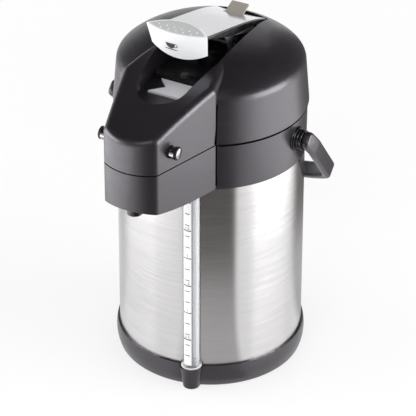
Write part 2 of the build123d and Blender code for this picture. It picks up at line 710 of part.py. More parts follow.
with BuildPart() as nozzle:
    with BuildSketch(Plane.XY.offset(NOZZLE_Z0)):
        with Locations((0, NOZZLE_Y)):
            Circle(NOZZLE_R)
    extrude(amount=NOZZLE_H)
    with BuildSketch(Plane.XY.offset(NOZZLE_Z1 - NOZZLE_FLANGE_T)):
        with Locations((0, NOZZLE_Y)):
            Circle(NOZZLE_FLANGE_R)
    extrude(amount=NOZZLE_FLANGE_T)
    with BuildSketch(Plane.XY.offset(NOZZLE_Z0)):
        with Locations((0, NOZZLE_Y)):
            Circle(NOZZLE_BORE)
    extrude(amount=NOZZLE_H + 1, mode=Mode.SUBTRACT)
    fillet(nozzle.edges().group_by(Axis.Z)[0].sort_by(SortBy.RADIUS)[-1], radius=0.8)
save(nozzle, "nozzle")

# ---------------------------------------------------------------- collar

beak_outer = beak_body(0, BEAK_TOP_FILLET)
beak_inner = beak_body(WALL, BEAK_TOP_FILLET - WALL)

with BuildPart() as collar:
    with BuildSketch(Plane.XZ):
        with BuildLine():
            Polyline(
                (0, COLLAR_Z0),
                (COLLAR_R0, COLLAR_Z0),
                (COLLAR_R1, SEAM_LOW),
                (0, SEAM_LOW),
                close=True,
            )
        make_face()
    revolve(axis=Axis.Z)
    with BuildPart(mode=Mode.PRIVATE) as lower_beak:
        add(beak_outer)
        split(bisect_by=Plane.XY.offset(SEAM_LOW), keep=Keep.BOTTOM)
    add(lower_beak.part)
    # open above and below the deck, and inside the beak
    with BuildSketch(Plane.XY.offset(DECK_Z)):
        Circle(COLLAR_IN_R)
    extrude(amount=COLLAR_H, mode=Mode.SUBTRACT)
    with BuildSketch(Plane.XY.offset(SHELL_Z1)):
        Circle(COLLAR_IN_R)
    extrude(amount=DECK_Z - DECK_T - SHELL_Z1, mode=Mode.SUBTRACT)
    with BuildPart(mode=Mode.PRIVATE) as beak_hollow:
        add(beak_inner)
        with BuildSketch(Plane.XY.offset(DECK_Z - DECK_T)):
            Circle(COLLAR_R0 - WALL)
        extrude(amount=DECK_T, mode=Mode.SUBTRACT)
    add(beak_hollow.part, mode=Mode.SUBTRACT)
    # boss round the tube's sleeve, then room for the shell, the mouth ring and the sleeve
    with BuildSketch(Plane.XY.offset(BEAK_FLOOR_Z + WALL / 2)):
        with Locations((TUBE_X, TUBE_Y)):
            Circle(SEAL_R + SLEEVE_WALL)
    extrude(amount=SLEEVE_H + 3)
    with BuildSketch(Plane.XY.offset(COLLAR_Z0 - 1)):
        Circle(SHELL_R + FIT)
    extrude(amount=COLLAR_LAP + 1 + EPS, mode=Mode.SUBTRACT)
    with BuildSketch(Plane.XY.offset(COLLAR_Z0)):
        Circle(THROAT_R + MOUTH_T + FIT)
    extrude(amount=COLLAR_H, mode=Mode.SUBTRACT)
    with BuildSketch(Plane.XY.offset(SHELL_Z1 + 0.9)):
        with Locations((TUBE_X, TUBE_Y)):
            Circle(SEAL_R + FIT)
    extrude(amount=SLEEVE_H + 3, mode=Mode.SUBTRACT)
    with BuildSketch(Plane.XY.offset(COLLAR_Z0 - 1)):
        with Locations((TUBE_X, TUBE_Y)):
            Circle(TUBE_R + 0.1)
        with Locations((0, NOZZLE_Y)):
            Circle(NOZZLE_R + FIT)
    extrude(amount=NOZZLE_H, mode=Mode.SUBTRACT)
    with BuildSketch(Plane.YZ):
        with Locations((0, BAIL_Z)):
            Circle(STUD_SHANK_R + FIT)
    extrude(amount=BAIL_OUT, both=True, mode=Mode.SUBTRACT)
    # hinge ears behind
    ear_y = COLLAR_R0 - WALL - 1.1
    for side in (-1, 1):
        x0 = side * COLLAR_KNUCKLE_X0
        x1 = side * COLLAR_KNUCKLE_X1
        with BuildPart(mode=Mode.PRIVATE) as ear:
            with BuildSketch(Plane.YZ.offset(min(x0, x1))):
                with BuildLine():
                    Polyline(
                        (ear_y, HINGE_Z - 13),
                        (HINGE_Y + HINGE_BARREL_R * 0.94, HINGE_Z - 1.6),
                        (HINGE_Y, HINGE_Z),
                        (ear_y, HINGE_Z),
                        close=True,
                    )
                make_face()
                with Locations((HINGE_Y, HINGE_Z)):
                    Circle(HINGE_BARREL_R)
            extrude(amount=COLLAR_KNUCKLE_X1 - COLLAR_KNUCKLE_X0)
        add(ear.part)
    with BuildSketch(Plane.YZ):
        with Locations((HINGE_Y, HINGE_Z)):
            Circle(HINGE_PIN_R + FIT)
    extrude(amount=COLLAR_KNUCKLE_X1 + 6, both=True, mode=Mode.SUBTRACT)
    with BuildSketch(Plane.YZ):
        with Locations((HINGE_Y, HINGE_Z)):
            Circle(HINGE_BARREL_R + 0.4)
    extrude(amount=COLLAR_KNUCKLE_X0, both=True, mode=Mode.SUBTRACT)
save(collar, "collar")

with BuildPart() as mouth_ring:
    with BuildSketch(Plane.XZ):
        with BuildLine():
            Polyline(
                (NECK_R + LINER_T + FIT, SHELL_Z1 + EPS),
                (COLLAR_IN_R - EPS, SHELL_Z1 + EPS),
                (COLLAR_IN_R - EPS, SHELF_Z),
                (THROAT_R + MOUTH_T, SHELF_Z),
                (THROAT_R + MOUTH_T, DECK_Z),
                (THROAT_R, DECK_Z),
                (THROAT_R, SHELF_Z),
                (NECK_R + LINER_T + FIT, SHELF_Z),
                close=True,
            )
        make_face()
    revolve(axis=Axis.Z)
    with BuildSketch(Plane.XY.offset(SHELL_Z1)):
        with Locations((TUBE_X, TUBE_Y)):
            Circle(SEAL_R + SLEEVE_WALL + FIT)
    extrude(amount=SLEEVE_H, mode=Mode.SUBTRACT)
save(mouth_ring, "mouth_ring")

with BuildPart() as mouth_gasket:
    with BuildSketch(Plane.XZ):
        with BuildLine():
            Polyline(
                (NECK_R + LINER_T + FIT, SHELF_Z + 0.1),
                (THROAT_R - FIT, SHELF_Z + 0.1),
                (THROAT_R - FIT, LINER_Z1 + GASKET_LIP),
                (NECK_R, LINER_Z1 + GASKET_LIP),
                (NECK_R, LINER_Z1 + EPS),
                (NECK_R + LINER_T + FIT, LINER_Z1 + EPS),
                close=True,
            )
        make_face()
    revolve(axis=Axis.Z)
save(mouth_gasket, "mouth_gasket")

for side, name in ((-1, "pivot_stud_left"), (1, "pivot_stud_right")):
    seat_x = COLLAR_R1 - 2.1
    boss_x = COLLAR_R1 + 2.1
    with BuildPart() as stud:
        for r, x0, x1 in (
            (STUD_R + 6.0, seat_x, boss_x),
            (STUD_R + 4.0, boss_x, BAIL_IN - 0.4),
            (STUD_R, BAIL_IN - 0.4, BAIL_OUT + 0.6),
            (STUD_R + 1.4, BAIL_OUT + 0.6, BAIL_OUT + 1.8),
        ):
            with BuildSketch(Plane.YZ.offset(side * x0)):
                with Locations((0, BAIL_Z)):
                    Circle(r)
            extrude(amount=side * (x1 - x0))
        with BuildSketch(Plane.XZ):
            with BuildLine():
                Polyline(
                    (COLLAR_IN_R, COLLAR_Z0),
                    (COLLAR_R0 + EPS, COLLAR_Z0),
                    (COLLAR_R1 + EPS, SEAM_Z),
                    (COLLAR_IN_R, SEAM_Z),
                    close=True,
                )
            make_face()
        revolve(axis=Axis.Z, mode=Mode.SUBTRACT)
        with BuildSketch(Plane.YZ.offset(side * (COLLAR_IN_R - 1.7))):
            with Locations((0, BAIL_Z)):
                Circle(STUD_SHANK_R)
        extrude(amount=side * (boss_x - COLLAR_IN_R))
    save(stud, name)

with BuildPart() as hinge_pin:
    with BuildSketch(Plane.YZ):
        with Locations((HINGE_Y, HINGE_Z)):
            Circle(HINGE_PIN_R)
    extrude(amount=COLLAR_KNUCKLE_X1, both=True)
    chamfer(hinge_pin.edges().filter_by(GeomType.CIRCLE), length=0.3)
save(hinge_pin, "hinge_pin")

# ---------------------------------------------------------------- bail

tilt = math.radians(BAIL_TILT)
bail_plane = Plane(
    origin=(0, 0, BAIL_Z),
    x_dir=(1, 0, 0),
    z_dir=(0, math.sin(tilt), math.cos(tilt)),
)
bail_past = BAIL_CORNER_X + BAIL_T * 1.04

with BuildPart() as bail:
    with BuildSketch(bail_plane.offset(-BAIL_H / 2)) as bow:
        with BuildLine():
            Line((-BAIL_IN, 0), (-BAIL_IN, BAIL_STRAIGHT))
            Line((-BAIL_IN, BAIL_STRAIGHT), (-BAIL_CORNER_X, BAIL_CORNER_V))
            ThreePointArc(
                (-BAIL_CORNER_X, BAIL_CORNER_V), (0, BAIL_REACH), (BAIL_CORNER_X, BAIL_CORNER_V)
            )
            Line((BAIL_CORNER_X, BAIL_CORNER_V), (BAIL_IN, BAIL_STRAIGHT))
            Line((BAIL_IN, BAIL_STRAIGHT), (BAIL_IN, 0))
            Line((BAIL_IN, 0), (BAIL_OUT, 0))
            Line((BAIL_OUT, 0), (BAIL_OUT, BAIL_STRAIGHT))
            Line((BAIL_OUT, BAIL_STRAIGHT), (bail_past, BAIL_CORNER_V + 3.5))
            ThreePointArc(
                (bail_past, BAIL_CORNER_V + 3.5),
                (0, BAIL_REACH + BAIL_T),
                (-bail_past, BAIL_CORNER_V + 3.5),
            )
            Line((-bail_past, BAIL_CORNER_V + 3.5), (-BAIL_OUT, BAIL_STRAIGHT))
            Line((-BAIL_OUT, BAIL_STRAIGHT), (-BAIL_OUT, 0))
            Line((-BAIL_OUT, 0), (-BAIL_IN, 0))
        make_face()
        fillet(bow.vertices().filter_by(lambda v: v.Y > 50), radius=5.0)
    extrude(amount=BAIL_H)
    long_edges = bail.edges().filter_by(lambda e: e.length > BAIL_STRAIGHT - 0.5 and e.length != BAIL_H)
    fillet(long_edges, radius=2.0)
    with BuildSketch(Plane.YZ.offset(BAIL_IN)):
        with Locations((0, BAIL_Z)):
            Circle(BAIL_HUB_R)
    extrude(amount=BAIL_T)
    with BuildSketch(Plane.YZ.offset(-BAIL_IN)):
        with Locations((0, BAIL_Z)):
            Circle(BAIL_HUB_R)
    extrude(amount=-BAIL_T)
    with BuildSketch(Plane.YZ):
        with Locations((0, BAIL_Z)):
            Circle(STUD_R + RUN)
    extrude(amount=BAIL_OUT + 1, both=True, mode=Mode.SUBTRACT)
save(bail, "bail")

# ---------------------------------------------------------------- lid

with BuildPart() as lid_outer:
    with BuildSketch(Plane.XZ):
        add(dome_face(0, SEAM_TOP))
    revolve(axis=Axis.Z)
    with BuildPart(mode=Mode.PRIVATE) as upper_beak:
        add(beak_outer)
        split(bisect_by=Plane.XY.offset(SEAM_TOP), keep=Keep.TOP)
    add(upper_beak.part)

with BuildPart() as lid_blocks:
    # walls of the channel, screw posts, axle bosses and button guides
    with BuildSketch(Plane.XY.offset(FLOOR_Z - FLOOR_T)):
        add(channel_outline(FLOOR_T))
    extrude(amount=CROWN_Z - FLOOR_Z + FLOOR_T)
    with BuildSketch(Plane.XY.offset(POST_Z)):
        with Locations(*around(POST_PITCH_R, 4, 45)):
            Circle(POST_R)
    extrude(amount=CROWN_Z - POST_Z)
    for side in (-1, 1):
        with Locations((side * (CHANNEL_REAR_X + 3.9), AXLE_Y, AXLE_Z - 1)):
            Box(6, 2 * AXLE_R + 7, 14)
        with Locations((side * (BEAK_TIP_X + 3.5), BUTTON_Y, BUTTON_Z)):
            Cylinder(BUTTON_R + BUTTON_GUIDE_T, 14, rotation=(0, 90, 0))
    add(lid_outer.part, mode=Mode.INTERSECT)

with BuildPart() as lid_shell:
    add(lid_outer.part)
    with BuildSketch(Plane.XZ):
        add(dome_face(WALL, SEAM_Z))
    revolve(axis=Axis.Z, mode=Mode.SUBTRACT)
    add(beak_inner, mode=Mode.SUBTRACT)
    add(lid_blocks.part)
    with BuildSketch(Plane.XY.offset(FLOOR_Z)):
        add(channel_outline(0))
    extrude(amount=CROWN_Z - FLOOR_Z + 1, mode=Mode.SUBTRACT)
    # the plunger's guide
    with BuildSketch(Plane.XY.offset(FLOOR_Z - FLOOR_T - GUIDE_H)):
        Circle(STEM_R + GUIDE_T)
    extrude(amount=GUIDE_H + 1)
    with BuildSketch(Plane.XY.offset(FLOOR_Z - FLOOR_T - GUIDE_H - 1)):
        Circle(STEM_R + RUN)
    extrude(amount=FLOOR_T + GUIDE_H + 2, mode=Mode.SUBTRACT)
    with BuildSketch(Plane.XY.offset(POST_Z - 1)):
        with Locations(*around(POST_PITCH_R, 4, 45)):
            Circle(POST_SCREW_R + EPS)
    extrude(amount=12, mode=Mode.SUBTRACT)
    with BuildSketch(LEVER_PLANE):
        Circle(AXLE_R + FIT)
    extrude(amount=CHANNEL_REAR_X + AXLE_SEAT + 0.2, both=True, mode=Mode.SUBTRACT)
    with BuildSketch(Plane.YZ):
        with Locations((BUTTON_Y, BUTTON_Z)):
            Circle(BUTTON_R + RUN)
    extrude(amount=BEAK_CREASE_X + 16, both=True, mode=Mode.SUBTRACT)
    # hinge knuckle
    with BuildPart(mode=Mode.PRIVATE) as knuckle:
        with BuildSketch(Plane.YZ):
            with BuildLine():
                Polyline(
                    (RIM_R - 1.8, SEAM_TOP + 0.1),
                    (HINGE_Y, HINGE_Z),
                    (HINGE_Y + HINGE_BARREL_R * 0.8, HINGE_Z + 2.7),
                    (RIM_R - 0.8, SEAM_TOP + 10.4),
                    (RIM_R - 1.8, SEAM_TOP + 10.4),
                    close=True,
                )
            make_face()
            with Locations((HINGE_Y, HINGE_Z)):
                Circle(HINGE_BARREL_R)
        extrude(amount=LID_KNUCKLE_X, both=True)
    add(knuckle.part)
    with BuildSketch(Plane.YZ):
        with Locations((HINGE_Y, HINGE_Z)):
            Circle(HINGE_PIN_R + RUN)
    extrude(amount=COLLAR_KNUCKLE_X1, both=True, mode=Mode.SUBTRACT)
    for side in (-1, 1):
        with BuildSketch(Plane.YZ.offset(side * (LID_KNUCKLE_X - 0.01))):
            with Locations((HINGE_Y, HINGE_Z)):
                Circle(HINGE_BARREL_R + 0.5)
        extrude(amount=side * (COLLAR_KNUCKLE_X1 - LID_KNUCKLE_X + 0.5), mode=Mode.SUBTRACT)
save(lid_shell, "lid_shell")

with BuildPart() as lid_base:
    with BuildSketch(Plane.XY.offset(LID_BASE_Z)):
        Circle(LID_BASE_R)
        Circle(CUP_R, mode=Mode.SUBTRACT)
    extrude(amount=LID_BASE_T)
    with BuildSketch(Plane.XY.offset(CUP_Z0)):
        Circle(CUP_OUT_R)
        Circle(CUP_R, mode=Mode.SUBTRACT)
    extrude(amount=LID_BASE_Z + LID_BASE_T - CUP_Z0)
    with BuildSketch(Plane.XY.offset(CUP_Z0)):
        Circle(CUP_OUT_R)
    extrude(amount=CUP_FLOOR_T)
    with BuildSketch(Plane.XY.offset(CUP_Z0)):
        Circle(VALVE_STEM_R + 0.1)
        with Locations(*around(VALVE_R - 2.9, 6, 0)):
            Circle(1.5)
    extrude(amount=CUP_FLOOR_T + 1, mode=Mode.SUBTRACT)
    with BuildSketch(Plane.XY.offset(LID_BASE_Z)):
        with Locations(*around(POST_PITCH_R, 4, 45)):
            Circle(POST_SCREW_R + RUN)
    extrude(amount=LID_BASE_T + 1, mode=Mode.SUBTRACT)
    # ribs under the plate
    for n in range(8):
        a = 22.5 + 45 * n
        with BuildSketch(Plane.XY.offset(LID_BASE_Z - 5)):
            with Locations(Location((0, 0, 0), (0, 0, a))):
                with Locations((CUP_OUT_R + CUP_RIB / 2 - 0.5, 0)):
                    Rectangle(CUP_RIB, 1.6)
        extrude(amount=5.0)
save(lid_base, "lid_base")

with BuildPart() as lid_screws:
    with BuildSketch(Plane.XY.offset(LID_BASE_Z - 1.2)):
        with Locations(*around(POST_PITCH_R, 4, 45)):
            Circle(POST_SCREW_HEAD_R)
            Rectangle(3.0, 0.7, mode=Mode.SUBTRACT)
            Rectangle(0.7, 3.0, mode=Mode.SUBTRACT)
    extrude(amount=0.6)
    with BuildSketch(Plane.XY.offset(LID_BASE_Z - 0.6)):
        with Locations(*around(POST_PITCH_R, 4, 45)):
            Circle(POST_SCREW_HEAD_R)
    extrude(amount=0.6)
    with BuildSketch(Plane.XY.offset(LID_BASE_Z)):
        with Locations(*around(POST_PITCH_R, 4, 45)):
            Circle(POST_SCREW_R)
    extrude(amount=LID_BASE_T + 7.5)
save(lid_screws, "lid_screws")

with BuildPart() as lid_seal:
    with BuildSketch(Plane.XZ):
        with BuildLine():
            Polyline(
                (CUP_OUT_R + EPS, CUP_Z0 + 4),
                (CUP_OUT_R + EPS, LINER_Z1 + GASKET_LIP + LOOSE),
                (NECK_R + LID_SEAL_W, LINER_Z1 + GASKET_LIP + LOOSE),
                (NECK_R + LID_SEAL_W, CUP_Z0 - 1.2),
                (NECK_R + 1.5, CUP_Z0 + 4),
                close=True,
            )
        make_face()
    revolve(axis=Axis.Z)
save(lid_seal, "lid_seal")

with BuildPart() as air_valve:
    with BuildSketch(Plane.XY.offset(CUP_Z0 - VALVE_T)):
        Circle(VALVE_R)
    extrude(amount=VALVE_T - EPS)
    with BuildSketch(Plane.XY.offset(CUP_Z0 - VALVE_T)):
        Circle(VALVE_STEM_R)
    extrude(amount=VALVE_T + CUP_FLOOR_T + 0.3)
save(air_valve, "air_valve")

with BuildPart() as strip_plate:
    with BuildSketch(Plane.XY.offset(FLOOR_Z + EPS)):
        with BuildLine():
            Polyline(
                (1 - STRIP_HALF, STOP_Y - STOP_T - 0.4),
                (STRIP_HALF, STOP_Y - STOP_T - 0.4),
                (STRIP_HALF, STOP_Y - STOP_T - STRIP_L),
                (1 - STRIP_HALF, STOP_Y - STOP_T - STRIP_L),
                (12 - STRIP_HALF, STOP_Y - STOP_T - STRIP_L / 2),
                close=True,
            )
        make_face()
    extrude(amount=STRIP_T)
save(strip_plate, "strip_plate")

with BuildPart() as stop_bar:
    with BuildSketch(Plane.YZ):
        with BuildLine():
            Polyline(
                (STOP_Y - STOP_T, FLOOR_Z + EPS),
                (STOP_Y - STOP_T, STOP_Z - 1.6),
                (STOP_Y - STOP_T + 2.0, STOP_Z),
                (STOP_Y, STOP_Z),
                (STOP_Y, FLOOR_Z + EPS),
                close=True,
            )
        make_face()
    extrude(amount=STOP_HALF, both=True)
save(stop_bar, "stop_bar")

with BuildPart() as bumper:
    with BuildSketch(Plane.XY.offset(STOP_Z + EPS)):
        with Locations((0, STOP_Y - 4.2)):
            Circle(BUMPER_R)
    extrude(amount=BUMPER_H)
    fillet(bumper.edges().group_by(Axis.Z)[-1], radius=1.2)
save(bumper, "bumper")

with BuildPart() as lever_axle:
    with BuildSketch(LEVER_PLANE):
        Circle(AXLE_R)
    extrude(amount=CHANNEL_REAR_X + AXLE_SEAT, both=True)
save(lever_axle, "lever_axle")

# ---------------------------------------------------------------- pump


def bellows_zigzag(radius_shift):
    """Points of one side of the bellows from bottom to top."""
    pitch = (PLATE_Z - 0.4 - BELLOWS_Z0) / BELLOWS_FOLDS
    points = []
    for n in range(BELLOWS_FOLDS + 1):
        points.append((BELLOWS_R - BELLOWS_DEPTH + radius_shift, BELLOWS_Z0 + n * pitch))
        if n < BELLOWS_FOLDS:
            points.append((BELLOWS_R + radius_shift, BELLOWS_Z0 + (n + 0.5) * pitch))
    return points


with BuildPart() as bellows:
    with BuildSketch(Plane.XZ):
        with BuildLine():
            Polyline(bellows_zigzag(0) + bellows_zigzag(-BELLOWS_WALL)[::-1], close=True)
        make_face()
    revolve(axis=Axis.Z)
save(bellows, "bellows")

with BuildPart() as return_spring:
    with BuildLine() as coil:
        Helix(
            pitch=(PLATE_Z - BELLOWS_Z0 - 2 * SPRING_END) / SPRING_TURNS,
            height=PLATE_Z - BELLOWS_Z0 - 2 * SPRING_END,
            radius=SPRING_R,
            center=(0, 0, BELLOWS_Z0 + SPRING_END),
        )
    with BuildSketch(Plane(origin=coil.line @ 0, z_dir=coil.line % 0)):
        RegularPolygon(SPRING_WIRE, 6)
    sweep(is_frenet=True)
save(return_spring, "return_spring")

with BuildPart() as plunger:
    with BuildSketch(Plane.XY.offset(PLATE_Z)):
        Circle(PLATE_R)
    extrude(amount=PLATE_T)
    with BuildSketch(Plane.XY.offset(PLATE_Z)):
        Circle(STEM_R)
    extrude(amount=CAP_Z - PLATE_Z)
    with BuildSketch(Plane.XY.offset(PLATE_Z + PLATE_T)):
        Circle(STEM_R - STEM_WALL)
    extrude(amount=CAP_Z - PLATE_Z - 2 * PLATE_T - 0.6, mode=Mode.SUBTRACT)
    for n in range(6):
        with BuildSketch(Plane.XY.offset(PLATE_Z + PLATE_T)):
            with Locations(Location((0, 0, 0), (0, 0, 60 * n))):
                with Locations(((STEM_R + PLATE_R + 3) / 2, 0)):
                    Rectangle(PLATE_R - STEM_R - 9, 1.6)
        extrude(amount=1.2)
save(plunger, "plunger")

with BuildPart() as push_cap:
    with BuildSketch(Plane.XY.offset(CAP_Z + EPS)):
        SlotOverall(2 * STEM_R + 6, 2 * STEM_R - 6)
    extrude(amount=CAP_T - EPS)
save(push_cap, "push_cap")

# ---------------------------------------------------------------- lever


def lever_section(drop, bottom):
    """Side outline of the lever from the axle, rear to front, top lowered by drop."""
    tip = (-LEVER_REACH, LEVER_RISE - drop)
    rear = (AXLE_LUG_R + 0.8, AXLE_R + 1.4 - drop)
    top = [rear]
    for along, up in ((0.181, 0.3723), (0.371, 0.5319), (0.6516, 0.7447), (0.905, 0.9309)):
        top.append((-along * LEVER_REACH, up * LEVER_RISE - drop))
    lower = [(-LEVER_REACH, LEVER_RISE - LEVER_T - 0.5)]
    for along, up in ((0.8688, 0.8245), (0.7059, 0.6383), (0.543, 0.4521), (0.3167, 0.2926)):
        lower.append((-along * LEVER_REACH, up * LEVER_RISE))
    lower += [(-9.0, AXLE_R + 2.5), (0.0, 1.0)]
    with BuildSketch() as face:
        with BuildLine():
            Spline(top + [tip])
            if bottom:
                Line(tip, lower[0])
                Spline(lower)
                Line((0.0, 1.0), (rear[0], 1.0))
                Line((rear[0], 1.0), rear)
            else:
                Line(tip, (-LEVER_REACH - 9, -23))
                Line((-LEVER_REACH - 9, -23), (21, -23))
                Line((21, -23), (21, -3))
                Line((21, -3), rear)
        make_face()
    return face.sketch


with BuildPart() as lever:
    with BuildSketch(LEVER_PLANE):
        add(lever_section(0, True))
    extrude(amount=LEVER_HALF, both=True)
    upper = lever.faces().filter_by(lambda f: f.normal_at().Z > 0.8).sort_by(SortBy.AREA)[-1]
    fillet(upper.edges().filter_by(lambda e: e.length > 0.9 * LEVER_REACH), radius=LEVER_T - 0.2)
    with BuildSketch(LEVER_PLANE):
        Circle(AXLE_LUG_R)
    extrude(amount=LEVER_HALF, both=True)
    with BuildSketch(LEVER_PLANE):
        add(lever_section(LEVER_T, False))
    extrude(amount=LEVER_HALF - LEVER_T, both=True, mode=Mode.SUBTRACT)
    with BuildSketch(LEVER_PLANE):
        Circle(AXLE_R + RUN)
    extrude(amount=LEVER_HALF + 1, both=True, mode=Mode.SUBTRACT)
    # slot and pin holes of the lock tab
    with Locations((0, AXLE_Y + LOCK_BACK + 5.1, AXLE_Z + LOCK_UP)):
        Box(2 * LOCK_HALF + 1, 14.2, 24, mode=Mode.SUBTRACT)
    with BuildSketch(LOCK_PLANE):
        Circle(LOCK_PIN_R + FIT)
    extrude(amount=LEVER_HALF + 1, both=True, mode=Mode.SUBTRACT)
save(lever, "lever")

with BuildPart() as push_bracket:
    push_y = PUSH_Y - AXLE_Y
    with BuildSketch(LEVER_PLANE):
        with BuildLine():
            Polyline(
                (push_y - 14, PUSH_UP + 36.5),
                (push_y - 14, PUSH_UP + 12.5),
                (push_y - 5.2, PUSH_UP - 2.5),
                (push_y + 5.2, PUSH_UP - 2.5),
                (push_y + 14, PUSH_UP + 10.5),
                (push_y + 14, PUSH_UP + 36.5),
                close=True,
            )
        make_face()
        with Locations((push_y, PUSH_UP)):
            Circle(BRACKET_LUG_R)
    extrude(amount=BRACKET_HALF, both=True)
    with BuildSketch(LEVER_PLANE):
        add(lever_section(LEVER_T + EPS, False))
    extrude(amount=BRACKET_HALF, both=True, mode=Mode.INTERSECT)
    with BuildSketch(LEVER_PLANE):
        add(lever_section(LEVER_T + BRACKET_T, False))
    extrude(amount=BRACKET_HALF - BRACKET_T, both=True, mode=Mode.SUBTRACT)
    with BuildSketch(LEVER_PLANE):
        with Locations((push_y, PUSH_UP)):
            Circle(PUSH_R + FIT)
    extrude(amount=BRACKET_HALF + 1, both=True, mode=Mode.SUBTRACT)
save(push_bracket, "push_bracket")

with BuildPart() as push_pin:
    with BuildSketch(LEVER_PLANE):
        with Locations((PUSH_Y - AXLE_Y, PUSH_UP)):
            Circle(PUSH_R)
    extrude(amount=PUSH_HALF, both=True)
    chamfer(push_pin.edges().filter_by(GeomType.CIRCLE), length=0.5)
save(push_pin, "push_pin")


def lens(half, front, back, mid_y):
    """Pointed lens shape in plan: corners at (half, mid_y), arcs to front and back."""
    with BuildSketch() as face:
        with BuildLine():
            ThreePointArc((-half, mid_y), (0, front), (half, mid_y))
            ThreePointArc((half, mid_y), (0, back), (-half, mid_y))
        make_face()
    return face.sketch


def grip_top(z):
    """Sloping line over the grip from the lever's tip, raised by z."""
    return [(TIP_Y - 13.5, TIP_Z + 1.0 + z), (TIP_Y + 21.5, TIP_Z + 4.8 + z)]


with BuildPart() as grip:
    with BuildSketch(Plane(origin=(0, TIP_Y, TIP_Z - GRIP_DOWN))):
        add(lens(GRIP_BOTTOM_HALF, 5.0, 16.5, 10.0))
    with BuildSketch(Plane(origin=(0, TIP_Y, TIP_Z + GRIP_UP))):
        add(lens(GRIP_HALF, -6.5, 15.0, 0.5))
    loft()
    # bowed underside and sloping top
    with BuildSketch(Plane.XZ.offset(-TIP_Y - 31.5)):
        with BuildLine():
            ThreePointArc((-40, TIP_Z - 6.1), (0, TIP_Z - 25.2), (40, TIP_Z - 6.1))
            Line((40, TIP_Z - 6.1), (40, TIP_Z - 50))
            Line((40, TIP_Z - 50), (-40, TIP_Z - 50))
            Line((-40, TIP_Z - 50), (-40, TIP_Z - 6.1))
        make_face()
    extrude(amount=50, mode=Mode.SUBTRACT)
    with BuildSketch(Plane.YZ):
        with BuildLine():
            Polyline(grip_top(0) + [(TIP_Y + 21.5, TIP_Z + 20), (TIP_Y - 13.5, TIP_Z + 20)], close=True)
        make_face()
    extrude(amount=40, both=True, mode=Mode.SUBTRACT)
    crown_face = grip.faces().filter_by(lambda f: f.normal_at().Z > 0.9).sort_by(SortBy.AREA)[-1]
    fillet(crown_face.edges(), radius=0.6)
    add(lever.part, mode=Mode.SUBTRACT)
    # shallow seat of the inlay
    with BuildPart(mode=Mode.PRIVATE) as inlay_space:
        with BuildSketch(Plane(origin=(0, TIP_Y, TIP_Z - 10))):
            add(lens(GRIP_HALF - INLAY_INSET, -4.1, 13.3, 1.3))
        extrude(amount=30)
        with BuildSketch(Plane.YZ):
            with BuildLine():
                Polyline(
                    grip_top(-INLAY_T) + [(TIP_Y + 21.5, TIP_Z - 40), (TIP_Y - 13.5, TIP_Z - 40)],
                    close=True,
                )
            make_face()
        extrude(amount=40, both=True, mode=Mode.SUBTRACT)
    add(inlay_space.part, mode=Mode.SUBTRACT)
save(grip, "grip")

with BuildPart() as grip_inlay:
    with BuildSketch(Plane(origin=(0, TIP_Y, TIP_Z - 10))):
        add(lens(GRIP_HALF - INLAY_INSET - 0.1, -4.0, 13.2, 1.3))
    extrude(amount=30)
    with BuildSketch(Plane.YZ):
        with BuildLine():
            Polyline(grip_top(EPS - INLAY_T) + grip_top(0)[::-1], close=True)
        make_face()
    extrude(amount=40, both=True, mode=Mode.INTERSECT)
save(grip_inlay, "grip_inlay")

with BuildPart() as lock_pin:
    with BuildSketch(LOCK_PLANE):
        Circle(LOCK_PIN_R)
    extrude(amount=LEVER_HALF, both=True)
save(lock_pin, "lock_pin")

with BuildPart() as lock_tab:
    with BuildSketch(LOCK_PLANE):
        with BuildLine():
            Polyline((-0.4, 1.3), (0.8, -1.0), (15.9, 5.6), (15.3, 7.0), close=True)
        make_face()
        Circle(LOCK_PIN_R + 1.0)
    extrude(amount=LOCK_HALF, both=True)
    with BuildSketch(LOCK_PLANE):
        Circle(LOCK_PIN_R + RUN)
    extrude(amount=LOCK_HALF + 1, both=True, mode=Mode.SUBTRACT)
save(lock_tab, "lock_tab")

# ---------------------------------------------------------------- buttons and latches

